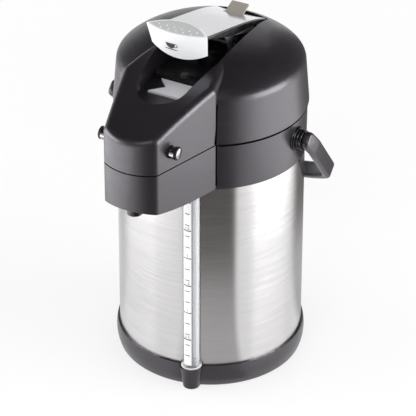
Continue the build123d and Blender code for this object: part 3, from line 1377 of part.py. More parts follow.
for side, word in ((-1, "left"), (1, "right")):
    with BuildPart() as button:
        with BuildSketch(Plane.YZ.offset(side * BUTTON_BACK_X)):
            with Locations((BUTTON_Y, BUTTON_Z)):
                Circle(BUTTON_R)
        extrude(amount=side * (BUTTON_END_X - BUTTON_BACK_X))
        end_face = button.faces().sort_by(Axis.X)[0 if side < 0 else -1]
        fillet(end_face.edges(), radius=0.9)
        with BuildSketch(Plane.YZ.offset(side * BUTTON_BACK_X)):
            with Locations((BUTTON_Y, BUTTON_Z)):
                Circle(BUTTON_POCKET_R)
        extrude(amount=side * 8.0, mode=Mode.SUBTRACT)
    save(button, "button_" + word)
    with BuildPart() as latch:
        with BuildSketch(Plane.YZ.offset(side * (BUTTON_BACK_X - EPS - LATCH_T))):
            with BuildLine():
                Polyline(
                    (BUTTON_Y - LATCH_HALF, SEAM_Z - LATCH_DROP),
                    (BUTTON_Y + LATCH_HALF, SEAM_Z - LATCH_DROP),
                    (BUTTON_Y + LATCH_HALF, BUTTON_Z + BUTTON_R + 0.6),
                    (BUTTON_Y - LATCH_HALF, BUTTON_Z + BUTTON_R + 0.6),
                    close=True,
                )
            make_face()
            with Locations((BUTTON_Y, BUTTON_Z)):
                Circle(BUTTON_POCKET_R, mode=Mode.SUBTRACT)
        extrude(amount=side * LATCH_T)
        nose_x = BUTTON_BACK_X - 0.1
        with BuildSketch(Plane.XZ.offset(LATCH_HALF - BUTTON_Y)):
            with BuildLine():
                Polyline(
                    (side * nose_x, SEAM_Z - LATCH_DROP),
                    (side * (nose_x + 2.3), SEAM_Z - LATCH_DROP + 3),
                    (side * (nose_x + 2.3), SEAM_Z - LATCH_DROP + 5),
                    (side * nose_x, SEAM_Z - LATCH_DROP + 5),
                    close=True,
                )
            make_face()
        extrude(amount=-2 * LATCH_HALF)
    save(latch, "latch_" + word)
    with BuildPart() as button_spring:
        with BuildLine() as button_coil:
            Helix(
                pitch=BUTTON_COIL_H / 4,
                height=BUTTON_COIL_H,
                radius=BUTTON_COIL_R,
                center=(side * (BUTTON_BACK_X - 9.5), BUTTON_Y, BUTTON_Z),
                direction=(side, 0, 0),
            )
        with BuildSketch(Plane(origin=button_coil.line @ 0, z_dir=button_coil.line % 0)):
            RegularPolygon(BUTTON_WIRE, 4)
        sweep(is_frenet=True)
    save(button_spring, "button_spring_" + word)
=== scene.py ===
"""Looks of a lever-action pump pot: finishes, printed scale, small trim, studio and camera.

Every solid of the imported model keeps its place. This script dresses each one, adds the fine
pieces that are too small for the solids, and sets up the light and the view.
Sizes are in metres, with Z up, the beak towards -Y and the sight tube on the front of the body.
"""

import json
import logging
import math
from dataclasses import dataclass, field
from enum import Enum
from typing import Iterable, Sequence

import bmesh
import bpy
from mathutils import Matrix, Vector
from mathutils.bvhtree import BVHTree

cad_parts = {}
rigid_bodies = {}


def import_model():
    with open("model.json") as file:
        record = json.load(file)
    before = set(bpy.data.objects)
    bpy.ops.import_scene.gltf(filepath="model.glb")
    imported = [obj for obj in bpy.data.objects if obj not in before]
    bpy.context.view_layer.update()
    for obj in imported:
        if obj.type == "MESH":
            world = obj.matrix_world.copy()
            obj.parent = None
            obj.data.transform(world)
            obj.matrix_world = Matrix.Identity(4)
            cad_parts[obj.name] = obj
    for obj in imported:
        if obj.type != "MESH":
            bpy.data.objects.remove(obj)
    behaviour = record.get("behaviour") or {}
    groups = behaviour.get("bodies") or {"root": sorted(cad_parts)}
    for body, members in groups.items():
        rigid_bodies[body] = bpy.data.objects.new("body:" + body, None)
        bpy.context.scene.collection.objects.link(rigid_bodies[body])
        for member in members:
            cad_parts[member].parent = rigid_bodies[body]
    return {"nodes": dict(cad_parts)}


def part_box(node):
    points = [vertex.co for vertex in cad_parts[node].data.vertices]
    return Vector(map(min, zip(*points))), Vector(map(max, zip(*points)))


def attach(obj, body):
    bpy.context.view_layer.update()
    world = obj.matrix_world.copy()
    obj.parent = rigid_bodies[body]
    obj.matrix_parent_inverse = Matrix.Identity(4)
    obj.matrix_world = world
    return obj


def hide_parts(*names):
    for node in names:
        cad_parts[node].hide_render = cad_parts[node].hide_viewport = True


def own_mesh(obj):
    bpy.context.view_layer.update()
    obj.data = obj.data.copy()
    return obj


for stray in list(bpy.data.objects):
    bpy.data.objects.remove(stray)
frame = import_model()

LOG = logging.getLogger("pump_pot")
WELD = 1e-6
NEAR = 1e-5
QUARTER_TURN = 0.25

Triple = tuple[float, float, float]
Corners = tuple[tuple[float, float], ...]
Band = tuple[float, float, float, float]


class Lay(Enum):
    """Which way the brushing or drawing lines of a metal part run."""

    ROUND = "round the upright axis"
    ALONG_X = "across the body"
    LOOSE = "no set direction"


class Side(Enum):
    """The two sides of the beak, seen from the front."""

    LEFT = -1
    RIGHT = 1


# ---------------------------------------------------------------- material pen


class Pen:
    """Draws the node tree of one material or of the room, with short calls for the nodes they share."""

    def __init__(self, name: str, room: bool = False) -> None:
        """Starts an empty node tree.

        Args:
            name: the material's name, or the room's.
            room: whether it is the room round the pot and not a material.
        """
        self.made = bpy.data.worlds.new(name) if room else bpy.data.materials.new(name)
        self.made.use_nodes = True
        self.tree = self.made.node_tree
        self.tree.nodes.clear()
        self.output = self.node("OutputWorld" if room else "OutputMaterial")

    def node(self, kind: str, **settings: object) -> bpy.types.Node:
        """Adds a node.

        Args:
            kind: the node's type name, without the ShaderNode prefix.
            **settings: properties of the node.

        Returns:
            The new node.
        """
        made = self.tree.nodes.new("ShaderNode" + kind)
        for key, value in settings.items():
            setattr(made, key, value)
        return made

    def feed(self, socket: bpy.types.NodeSocket, value: object) -> None:
        """Links a socket, or sets its constant.

        Args:
            socket: the input socket.
            value: an output socket, a number, or a colour.
        """
        if isinstance(value, bpy.types.NodeSocket):
            self.tree.links.new(value, socket)
        elif isinstance(value, tuple) and len(value) == 3 and socket.type == "RGBA":
            socket.default_value = (*value, 1.0)
        else:
            socket.default_value = value

    def place(self, scale: Triple = (1, 1, 1), shift: Triple = (0, 0, 0)) -> bpy.types.NodeSocket:
        """Gives the piece's own coordinates through a Mapping node.

        Args:
            scale: how many times finer a pattern becomes along each axis.
            shift: how far the pattern is moved.

        Returns:
            The coordinates.
        """
        where = self.node("TexCoord")
        mapping = self.node("Mapping")
        mapping.inputs["Scale"].default_value = scale
        mapping.inputs["Location"].default_value = shift
        self.feed(mapping.inputs["Vector"], where.outputs["Object"])
        return mapping.outputs["Vector"]

    def noise(
        self,
        where: bpy.types.NodeSocket,
        scale: float,
        detail: float = 3.0,
        rough: float = 0.5,
        twist: float = 0.0,
    ) -> bpy.types.NodeSocket:
        """Adds a noise pattern.

        Args:
            where: the coordinates.
            scale: waves to a metre of those coordinates.
            detail: how many finer layers it has.
            rough: how strong the finer layers are.
            twist: how far the pattern is bent by itself.

        Returns:
            The noise value.
        """
        made = self.node("TexNoise")
        self.feed(made.inputs["Vector"], where)
        levels = {"Scale": scale, "Detail": detail, "Roughness": rough, "Distortion": twist}
        for key, value in levels.items():
            made.inputs[key].default_value = value
        return made.outputs["Fac"]

    def span(
        self,
        value: bpy.types.NodeSocket,
        low: float,
        high: float,
        start: float = 0.25,
        end: float = 0.75,
        curve: str = "LINEAR",
    ) -> bpy.types.NodeSocket:
        """Maps a value to a range, held at both ends.

        Args:
            value: what is mapped.
            low: the result at start and below it.
            high: the result at end and above it.
            start: the value that gives low.
            end: the value that gives high.
            curve: how the result runs between them.

        Returns:
            The mapped value.
        """
        made = self.node("MapRange", clamp=True, interpolation_type=curve)
        made.inputs["From Min"].default_value, made.inputs["From Max"].default_value = start, end
        made.inputs["To Min"].default_value, made.inputs["To Max"].default_value = low, high
        self.feed(made.inputs["Value"], value)
        return made.outputs["Result"]

    def sum(self, operation: str, first: object, second: object = 0.0) -> bpy.types.NodeSocket:
        """Joins two values.

        Args:
            operation: the Math node's operation.
            first: a socket or a number.
            second: a socket or a number.

        Returns:
            The result.
        """
        made = self.node("Math", operation=operation)
        self.feed(made.inputs[0], first)
        self.feed(made.inputs[1], second)
        return made.outputs[0]

    def mix(self, share: object, first: object, second: object) -> bpy.types.NodeSocket:
        """Mixes two colours.

        Args:
            share: how much of the second one there is.
            first: a socket or a colour.
            second: a socket or a colour.

        Returns:
            The mixed colour.
        """
        made = self.node("MixRGB")
        for key, value in (("Fac", share), ("Color1", first), ("Color2", second)):
            self.feed(made.inputs[key], value)
        return made.outputs["Color"]

    def blend(self, share: object, first: bpy.types.Node, second: bpy.types.Node) -> bpy.types.Node:
        """Mixes two shaders.

        Args:
            share: how much of the second one there is.
            first: a shader's node.
            second: a shader's node.

        Returns:
            The mixing node.
        """
        made = self.node("MixShader")
        for slot, value in enumerate((share, first.outputs[0], second.outputs[0])):
            self.feed(made.inputs[slot], value)
        return made

    def finish(self, shader: bpy.types.Node) -> None:
        """Joins the last shader to the output."""
        self.feed(self.output.inputs["Surface"], shader.outputs[0])

    def bump(
        self, height: bpy.types.NodeSocket, depth: float, strength: float = 1.0, under: object = None
    ) -> bpy.types.NodeSocket:
        """Turns a height pattern into a normal.

        Args:
            height: the pattern.
            depth: how deep it is, in metres.
            strength: how much of it shows.
            under: a normal that it lies on.

        Returns:
            The bent normal.
        """
        made = self.node("Bump")
        made.inputs["Strength"].default_value = strength
        made.inputs["Distance"].default_value = depth
        self.feed(made.inputs["Height"], height)
        if under is not None:
            self.feed(made.inputs["Normal"], under)
        return made.outputs["Normal"]

    def edges(self, radius: float) -> bpy.types.NodeSocket:
        """Finds worn edges.

        Args:
            radius: how far from a corner the wear reaches.

        Returns:
            0 on a flat and near 1 on a corner sharper than the radius.
        """
        soft = self.node("Bevel", samples=4)
        soft.inputs["Radius"].default_value = radius
        true = self.node("NewGeometry")
        dot = self.node("VectorMath", operation="DOT_PRODUCT")
        self.feed(dot.inputs[0], soft.outputs["Normal"])
        self.feed(dot.inputs[1], true.outputs["Normal"])
        return self.span(dot.outputs["Value"], 1.0, 0.0, 0.80, 0.985)

    def surface(self, **sockets: object) -> bpy.types.Node:
        """Adds the shader and joins it to the output.

        Args:
            **sockets: values by socket name, with _ for a space.

        Returns:
            The shader node.
        """
        shader = self.node("BsdfPrincipled")
        for key, value in sockets.items():
            self.feed(shader.inputs[key.replace("_", " ")], value)
        self.finish(shader)
        return shader


# -------------------------------------------------------------------- finishes


@dataclass(frozen=True)
class Finish:
    """What every finish has: a name and a colour."""

    name: str
    colour: Triple

    def shade(self, factor: float) -> Triple:
        """The colour made lighter or darker by a factor."""
        return tuple(min(1.0, part * factor) for part in self.colour)

    def make(self) -> bpy.types.Material:
        """Builds the material."""
        raise NotImplementedError


@dataclass(frozen=True)
class MouldedPlastic(Finish):
    """Injection-moulded plastic: tool grain, faint flow clouds, handling scuffs and rubbed edges."""

    roughness: float = 0.42
    grain: float = 0.0008
    grain_depth: float = 0.000012
    tone: float = 0.14
    gloss: float = 0.5
    coat: float = 0.0
    edge_lift: float = 1.9
    scuffs: float = 0.06
    gloss_tint: Triple = (1.0, 1.0, 1.0)
    coat_haze: float = 0.05
    rub_radius: float = 0.0007

    def make(self) -> bpy.types.Material:
        """Builds the plastic.

        Returns:
            The material.
        """
        pen = Pen(self.name)
        flow = pen.noise(pen.place((1, 1, 2.2)), 14, 3, 0.55, 0.4)
        colour = pen.mix(pen.span(flow, 0, 1), self.shade(1 - self.tone), self.shade(1 + self.tone))
        worn = pen.edges(self.rub_radius)
        spots = pen.span(pen.noise(pen.place(shift=(0.3, 0.1, 0.7)), 90, 4, 0.6), 0, 1, 0.35, 0.65)
        worn = pen.sum("MULTIPLY", worn, spots)
        colour = pen.mix(worn, colour, self.shade(self.edge_lift))
        grain = pen.noise(pen.place(), 1 / self.grain, 2, 0.55)
        pits = pen.noise(pen.place(shift=(1, 2, 3)), 0.35 / self.grain, 3, 0.6)
        normal = pen.bump(pits, self.grain_depth * 1.6, 0.5)
        normal = pen.bump(grain, self.grain_depth, 0.9, normal)
        scuff = pen.noise(pen.place((1, 1, 5), (0.2, 0.5, 0.1)), 55, 5, 0.7, 1.2)
        rough = pen.span(scuff, self.roughness - self.scuffs, self.roughness + self.scuffs, 0.3, 0.7)
        rough = pen.sum("SUBTRACT", rough, pen.sum("MULTIPLY", worn, 0.1))
        pen.surface(
            Base_Color=colour,
            Roughness=rough,
            Normal=normal,
            Specular_IOR_Level=self.gloss,
            Specular_Tint=self.gloss_tint,
            Coat_Weight=self.coat,
            Coat_Roughness=self.coat_haze,
        )
        return pen.made


@dataclass(frozen=True)
class BrushedSteel(Finish):
    """Stainless steel brushed or turned in one direction, with fine and coarse lines."""

    lay: Lay = Lay.ROUND
    roughness: float = 0.3
    stretch: float = 0.6
    line: float = 0.0003
    depth: float = 0.000004
    contrast: float = 0.07
    swing: float = 0.03
    speckle: float = 0.0
    streaks: float = 0.0
    streak_wide: float = 0.0009
    streak_long: float = 0.05
    rub_radius: float = 0.0005

    def run(self, width: float, length: float) -> Triple:
        """The pattern's scale for lines along the lay.

        Args:
            width: the lines' width.
            length: their length.

        Returns:
            The scale along x, y and z.
        """
        fine, slow = 1 / width, 1 / length
        return {
            Lay.ROUND: (slow, slow, fine),
            Lay.ALONG_X: (slow, fine, fine),
            Lay.LOOSE: (fine * 0.2, fine * 0.2, fine * 0.2),
        }[self.lay]

    def make(self) -> bpy.types.Material:
        """Builds the steel.

        Returns:
            The material.
        """
        pen = Pen(self.name)
        fine = pen.noise(pen.place(self.run(self.line, 0.25)), 1, 2, 0.6)
        coarse = pen.noise(pen.place(self.run(self.line * 4, 0.6), (3, 5, 7)), 1, 2, 0.5)
        stray = pen.noise(pen.place(self.run(self.line * 2, 0.08), (9, 2, 4)), 1, 2, 0.6)
        lines = pen.sum("ADD", pen.sum("MULTIPLY", fine, 0.8), pen.sum("MULTIPLY", coarse, 0.2))
        broad = pen.noise(pen.place(self.run(self.streak_wide, self.streak_long), (4, 8, 1)), 1, 3, 0.7)
        share = pen.span(broad, 0, 1, 0.3, 0.7) if self.streaks else pen.span(lines, 0, 1, 0.36, 0.64)
        colour = pen.mix(share, self.shade(1 - self.contrast), self.shade(1 + self.contrast))
        handled = pen.noise(pen.place(shift=(0.4, 0.9, 0.2)), 16, 4, 0.6, 0.5)
        rough = pen.sum(
            "ADD",
            pen.span(lines, self.roughness - self.swing, self.roughness + self.swing, 0.36, 0.64),
            pen.span(handled, -0.02, 0.03, 0.35, 0.7),
        )
        satin = pen.noise(pen.place(shift=(0.2, 0.3, 0.1)), 900, 3, 0.7)
        rough = pen.sum("ADD", rough, pen.span(satin, -self.speckle, self.speckle, 0.35, 0.65))
        rough = pen.sum("ADD", rough, pen.span(broad, -self.streaks, self.streaks, 0.3, 0.7))
        worn = pen.edges(self.rub_radius)
        rough = pen.sum("SUBTRACT", rough, pen.sum("MULTIPLY", worn, 0.08))
        normal = pen.bump(stray, self.depth, 0.2)
        normal = pen.bump(lines, self.depth, 0.4, normal)
        shader = pen.surface(
            Base_Color=colour, Metallic=1.0, Roughness=rough, Normal=normal, Anisotropic=self.stretch
        )
        if self.lay is Lay.ROUND and self.stretch > 0:
            tangent = pen.node("Tangent", direction_type="RADIAL", axis="Z")
            pen.feed(shader.inputs["Tangent"], tangent.outputs["Tangent"])
            shader.inputs["Anisotropic Rotation"].default_value = QUARTER_TURN
        return pen.made


@dataclass(frozen=True)
class PolishedSteel(Finish):
    """Bright rolled sheet or wire: hairline scratches, faint smudges and brighter edges."""

    roughness: float = 0.12
    hairline: float = 0.0000015
    smudge: float = 0.08

    def make(self) -> bpy.types.Material:
        """Builds the bright metal.

        Returns:
            The material.
        """
        pen = Pen(self.name)
        cloud = pen.noise(pen.place(), 38, 4, 0.6, 0.8)
        hair = pen.noise(pen.place((700, 45, 700)), 1, 3, 0.65, 0.2)
        cross = pen.noise(pen.place((60, 900, 300), (2, 4, 6)), 1, 2, 0.6, 0.4)
        lines = pen.sum("MAXIMUM", hair, pen.sum("MULTIPLY", cross, 0.9))
        colour = pen.mix(pen.span(lines, 0, 1, 0.4, 0.7), self.shade(0.95), self.shade(1.04))
        worn = pen.edges(0.0004)
        colour = pen.mix(pen.sum("MULTIPLY", worn, 0.5), colour, self.shade(1.2))
        rough = pen.sum(
            "ADD",
            pen.span(cloud, self.roughness, self.roughness + self.smudge, 0.42, 0.68),
            pen.span(lines, 0.0, 0.05, 0.45, 0.7),
        )
        normal = pen.bump(lines, self.hairline, 0.7)
        pen.surface(Base_Color=colour, Metallic=1.0, Roughness=rough, Normal=normal)
        return pen.made


@dataclass(frozen=True)
class ClearTube(Finish):
    """Clear extruded plastic tube: drawing lines up the wall and a faint haze."""

    bend: float = 1.49
    rim_blend: float = 0.35
    clear: float = 0.14
    cloudy: float = 0.85

    def make(self) -> bpy.types.Material:
        """Builds the clear plastic.

        Returns:
            The material.
        """
        pen = Pen(self.name)
        draw = pen.noise(pen.place((300, 300, 1.5)), 1, 1, 0.4)
        haze = pen.noise(pen.place(), 60, 4, 0.6)
        tint = pen.mix(pen.span(haze, 0, 1), self.shade(0.985), self.colour)
        rim = pen.node("LayerWeight")
        rim.inputs["Blend"].default_value = self.rim_blend
        pen.surface(
            Base_Color=tint,
            Roughness=pen.span(haze, 0.02, 0.06, 0.4, 0.75),
            Normal=pen.bump(draw, 0.0000005, 0.15),
            IOR=self.bend,
            Alpha=pen.span(rim.outputs["Facing"], self.clear, self.cloudy, 0.25, 0.95),
        )
        return pen.made


@dataclass(frozen=True)
class SoftRubber(Finish):
    """Rubber or silicone: open grain, bloom in the hollows, and a soft velvet edge."""

    roughness: float = 0.7
    grain: float = 0.0005
    velvet: float = 0.25
    glow: float = 0.0
    gloss: float = 0.5

    def make(self) -> bpy.types.Material:
        """Builds the rubber.

        Returns:
            The material.
        """
        pen = Pen(self.name)
        bloom = pen.noise(pen.place(), 70, 5, 0.65, 0.6)
        colour = pen.mix(pen.span(bloom, 0, 1, 0.35, 0.7), self.shade(0.88), self.shade(1.14))
        worn = pen.edges(0.0006)
        colour = pen.mix(pen.sum("MULTIPLY", worn, 0.6), colour, self.shade(1.35))
        grain = pen.noise(pen.place(shift=(5, 1, 2)), 1 / self.grain, 3, 0.6)
        pen.surface(
            Base_Color=colour,
            Roughness=pen.span(bloom, self.roughness - 0.08, self.roughness + 0.06, 0.3, 0.7),
            Normal=pen.bump(grain, 0.00003, 0.8),
            Specular_IOR_Level=self.gloss,
            Sheen_Weight=self.velvet,
            Sheen_Roughness=0.5,
            Subsurface_Weight=self.glow,
            Subsurface_Scale=0.002,
        )
        return pen.made


@dataclass(frozen=True)
class PadInk(Finish):
    """Pad-printed ink: a little uneven in cover, with a dry, matt skin."""

    def make(self) -> bpy.types.Material:
        """Builds the ink.

        Returns:
            The material.
        """
        pen = Pen(self.name)
        cover = pen.noise(pen.place(), 2600, 3, 0.6)
        patch = pen.noise(pen.place(shift=(1, 1, 1)), 300, 3, 0.6)
        colour = pen.mix(pen.span(cover, 0, 1, 0.3, 0.7), self.shade(0.8), self.shade(1.5))
        pen.surface(
            Base_Color=colour,
            Roughness=pen.span(patch, 0.5, 0.7, 0.3, 0.7),
            Normal=pen.bump(cover, 0.00001, 0.6),
        )
        return pen.made


HEAD_BLACK = MouldedPlastic(
    "satin_black_moulding", (0.011, 0.009, 0.012), 0.36, gloss=1.0, coat=0.12, gloss_tint=(0.97, 0.93, 1.0)
)
CHANNEL_BLACK = MouldedPlastic(
    "matt_black_moulding", (0.008, 0.007, 0.008), 0.6, 0.0010, 0.00002, gloss=0.3
)
INNER_BLACK = MouldedPlastic("inner_black_moulding", (0.03, 0.03, 0.032), 0.5, 0.0011, 0.00002)
GLOSS_BLACK = MouldedPlastic(
    "gloss_black_moulding", (0.008, 0.008, 0.009), 0.14, 0.0012, 0.000003, coat=0.5
)
GRIP_WHITE = MouldedPlastic(
    "white_grip_moulding", (0.84, 0.85, 0.87), 0.3, 0.0010, 0.0000015, 0.015, edge_lift=1.06, scuffs=0.02
)
STRIP_WHITE = MouldedPlastic(
    "white_scale_strip", (0.86, 0.87, 0.89), 0.4, 0.0006, 0.000001, 0.015, edge_lift=1.05, scuffs=0.02
)
INLAY_GREY = MouldedPlastic(
    "grey_grip_inlay", (0.55, 0.56, 0.56), 0.5, 0.0005, 0.000006, 0.04, edge_lift=1.2, scuffs=0.03
)
PLATE_GREY = MouldedPlastic(
    "light_grey_strip", (0.90, 0.90, 0.95), 0.25, 0.0007, 0.000003, 0.04, edge_lift=1.1, scuffs=0.03
)
SHELL_STEEL = BrushedSteel(
    "brushed_shell_steel",
    (0.66, 0.65, 0.65),
    Lay.ROUND,
    0.21,
    0.95,
    0.0002,
    0.00000025,
    0.06,
    swing=0.01,
    speckle=0.012,
    streaks=0.016,
)
LINER_STEEL = BrushedSteel("turned_liner_steel", (0.58, 0.57, 0.56), Lay.ROUND, 0.22, 0.5, 0.0005, 0.000003)
SCREW_STEEL = BrushedSteel("screw_steel", (0.52, 0.51, 0.49), Lay.LOOSE, 0.28, 0.0, 0.0006, 0.000004)
PIN_STEEL = BrushedSteel("ground_pin_steel", (0.58, 0.57, 0.55), Lay.ALONG_X, 0.22, 0.0, 0.0003, 0.000002)
TAB_TAUPE = MouldedPlastic(
    "taupe_tab_lacquer", (0.34, 0.31, 0.275), 0.42, 0.0005, 0.000004, 0.05, edge_lift=1.5, scuffs=0.04
)
BLACKED_STEEL = BrushedSteel(
    "blacked_steel", (0.045, 0.042, 0.04), Lay.ALONG_X, 0.45, 0.0, 0.0004, 0.000004
)
LEVER_STEEL = PolishedSteel("bright_lever_sheet", (0.78, 0.77, 0.80))
STUD_BLACK = MouldedPlastic("stud_black_moulding", (0.006, 0.005, 0.007), 0.24, 0.0012, 0.000003, gloss=0.7)
BUTTON_PLATE = PolishedSteel("smoked_button_plating", (0.42, 0.41, 0.43), 0.06, smudge=0.03)
FLANGE_STEEL = PolishedSteel("dull_flange_sheet", (0.66, 0.64, 0.67), 0.45)
SPRING_WIRE = PolishedSteel("drawn_spring_wire", (0.55, 0.55, 0.56), 0.2)
TUBE_CLEAR = ClearTube("clear_sight_tube", (0.88, 0.90, 0.92))
SILICONE = SoftRubber("milky_silicone", (0.62, 0.63, 0.63), 0.5, 0.0007, 0.1, 0.15)
RUBBER = SoftRubber("black_rubber", (0.022, 0.022, 0.023))
# Near-black finish for painted shade: the shadow under the lid's rim, the shade inside the beak's seam gap
# and the shade lines in the beak's corners.
SHADE_LINE_BLACK = SoftRubber("dark_seam_rubber", (0.003, 0.003, 0.003), 0.9, 0.0005, 0.0, gloss=0.0)
SCALE_INK = PadInk("black_scale_ink", (0.02, 0.02, 0.022))
PANEL_WHITE = MouldedPlastic(
    "white_panel_ink", (0.88, 0.89, 0.91), 0.3, 0.0004, 0.0000005, 0.01, edge_lift=1.03, scuffs=0.02
)
# Grey for the stripe beside the scale panel: painted shade for the shadow of the gap between the tube and
# the shell.
EDGE_SHADE_GREY = MouldedPlastic(
    "grey_border_ink", (0.24, 0.24, 0.25), 0.35, 0.0004, 0.0000005, 0.03, edge_lift=1.1
)
MARK_INK = PadInk("dark_mark_ink", (0.045, 0.04, 0.045))


class FinishShelf:
    """Builds each finish once and hands it out."""

    def __init__(self) -> None:
        """Starts with an empty shelf."""
        self.made: dict[str, bpy.types.Material] = {}

    def get(self, finish: Finish) -> bpy.types.Material:
        """Hands out a finish, built the first time it is asked for.

        Args:
            finish: the finish.

        Returns:
            Its material.
        """
        if finish.name not in self.made:
            self.made[finish.name] = finish.make()
        return self.made[finish.name]


SHELF = FinishShelf()


# ------------------------------------------------------------ shared mesh work


def direction(azimuth: float, elevation: float) -> Vector:
    """The unit vector out from the pot, at an azimuth from the front and an elevation in degrees."""
    a, e = math.radians(azimuth), math.radians(elevation)
    return Vector((math.sin(a) * math.cos(e), -math.cos(a) * math.cos(e), math.sin(e)))


def dress(names: Iterable[str], finish: Finish) -> None:
    """Gives solids of the model a finish.

    Args:
        names: the solids' names.
        finish: the finish they get.
    """
    for name in names:
        mesh = frame["nodes"][name].data
        mesh.materials.clear()
        mesh.materials.append(SHELF.get(finish))
        LOG.info("dressed %s in %s", name, finish.name)


def picked(parts: Iterable[object], kind: type) -> list:
    """The parts of one kind, out of what an operator made."""
    return [part for part in parts if isinstance(part, kind)]


def everything(shape: bmesh.types.BMesh) -> list:
    """All the corners, edges and faces of a mesh."""
    return shape.verts[:] + shape.edges[:] + shape.faces[:]


def as_object(name: str, shape: bmesh.types.BMesh, material: bpy.types.Material) -> bpy.types.Object:
    """Makes a mesh an object of the scene.

    Args:
        name: the object's name.
        shape: its mesh, in place; it is freed here.
        material: what covers it.

    Returns:
        The object.
    """
    mesh = bpy.data.meshes.new(name)
    shape.to_mesh(mesh)
    shape.free()
    mesh.materials.append(material)
    made = bpy.data.objects.new(name, mesh)
    bpy.context.scene.collection.objects.link(made)
    return made


def add_piece(
    name: str, shape: bmesh.types.BMesh, body: str, finish: Finish, crease: float = 35.0
) -> bpy.types.Object:
    """Makes a finished mesh a piece of the pot.

    Args:
        name: the piece's name.
        shape: its mesh, in place; it is freed here.
        body: the moving body it goes with.
        finish: its finish.
        crease: the angle in degrees above which an edge stays sharp.

    Returns:
        The piece's object.
    """
    made = as_object(name, shape, SHELF.get(finish))
    for face in made.data.polygons:
        face.use_smooth = True
    made.data.set_sharp_from_angle(angle=math.radians(crease))
    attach(made, body)
    LOG.info("added %s with %d faces", name, len(made.data.polygons))
    return made


def surface_of(node: str) -> BVHTree:
    """Makes a solid's surface ready to be searched by rays.

    Args:
        node: the solid's name.

    Returns:
        The search tree.
    """
    mesh = frame["nodes"][node].data
    corners = [v.co.copy() for v in mesh.vertices]
    return BVHTree.FromPolygons(corners, [tuple(p.vertices) for p in mesh.polygons])


def join_into(whole: bmesh.types.BMesh, part: bmesh.types.BMesh) -> None:
    """Adds one mesh to another and frees it.

    Args:
        whole: the mesh that grows.
        part: the mesh that is added.
    """
    mesh = bpy.data.meshes.new("part")
    part.to_mesh(mesh)
    part.free()
    whole.from_mesh(mesh)
    bpy.data.meshes.remove(mesh)


def add_block(whole: bmesh.types.BMesh, size: Triple, centre: Vector, cuts: int) -> None:
    """Adds a small block to a mesh.

    Args:
        whole: the mesh.
        size: the block's lengths along x, y and z.
        centre: its middle.
        cuts: extra divisions along its x length.
    """
    block = bmesh.new()
    bmesh.ops.create_cube(block, size=1.0)
    bmesh.ops.scale(block, vec=size, verts=block.verts)
    along = [e for e in block.edges if abs(e.verts[0].co.x - e.verts[1].co.x) > 0.5 * size[0]]
    bmesh.ops.subdivide_edges(block, edges=along, cuts=cuts, use_grid_fill=True)
    bmesh.ops.translate(block, vec=centre, verts=block.verts)
    join_into(whole, block)


def turned_solid(profile: Corners, foot: Vector, along: Vector, steps: int = 56) -> bmesh.types.BMesh:
    """Turns a profile round an axis into a closed solid.

    Args:
        profile: its corners as radius and distance along the axis, from the axis back to the axis.
        foot: the point on the axis where the distances start.
        along: the axis, a unit vector.
        steps: divisions round the axis.

    Returns:
        The turned mesh.
    """
    shape = bmesh.new()
    corners = [shape.verts.new((r, 0, far)) for r, far in profile]
    edges = [shape.edges.new(pair) for pair in zip(corners, corners[1:])]
    bmesh.ops.spin(
        shape,
        geom=corners + edges,
        cent=(0, 0, 0),
        axis=(0, 0, 1),
        angle=math.tau,
        steps=steps,
        use_merge=True,
    )
    bmesh.ops.remove_doubles(shape, verts=shape.verts, dist=WELD)
    turn = along.to_track_quat("Z", "Y").to_matrix().to_4x4()
    bmesh.ops.transform(shape, matrix=Matrix.Translation(foot) @ turn, verts=shape.verts)
    bmesh.ops.recalc_face_normals(shape, faces=shape.faces)
    return shape


def merged_copy(node: str) -> bmesh.types.BMesh:
    """Copies a solid's mesh and joins its loose triangles.

    Args:
        node: the solid's name.

    Returns:
        The copy.
    """
    shape = bmesh.new()
    shape.from_mesh(frame["nodes"][node].data)
    bmesh.ops.remove_doubles(shape, verts=shape.verts, dist=WELD)
    bmesh.ops.recalc_face_normals(shape, faces=shape.faces)
    return shape


def soften(
    shape: bmesh.types.BMesh, edges: Sequence[bmesh.types.BMEdge], width: float, segments: int
) -> None:
    """Rounds edges of a mesh.

    Args:
        shape: the mesh.
        edges: the edges to round.
        width: how far the round reaches from each edge.
        segments: its steps.
    """
    bmesh.ops.bevel(
        shape,
        geom=list(edges),
        offset=width,
        offset_type="OFFSET",
        segments=segments,
        profile=0.5,
        affect="EDGES",
        clamp_overlap=True,
        material=-1,
    )


def sharp_edges(shape: bmesh.types.BMesh, angle: float) -> list[bmesh.types.BMEdge]:
    """The edges of a mesh that bend by more than an angle in degrees."""
    limit = math.radians(angle)
    return [e for e in shape.edges if len(e.link_faces) == 2 and e.calc_face_angle(0.0) > limit]


# ------------------------------------------------------------- sub-assemblies


@dataclass
class BaseUnit:
    """The black base ring with its plate, feet and screws."""

    def build(self) -> None:
        """Dresses the base."""
        dress(["base_ring"], HEAD_BLACK)
        dress(["base_plate"], INNER_BLACK)
        dress(["feet"], RUBBER)
        dress(["base_screws"], SCREW_STEEL)


@dataclass
class SteelBody:
    """The double-walled steel body and its inner vessel."""

    def build(self) -> None:
        """Dresses the shell, its shoulder and the liner."""
        dress(["outer_shell", "shell_shoulder", "jacket_bottom"], SHELL_STEEL)
        dress(["liner", "liner_neck"], LINER_STEEL)


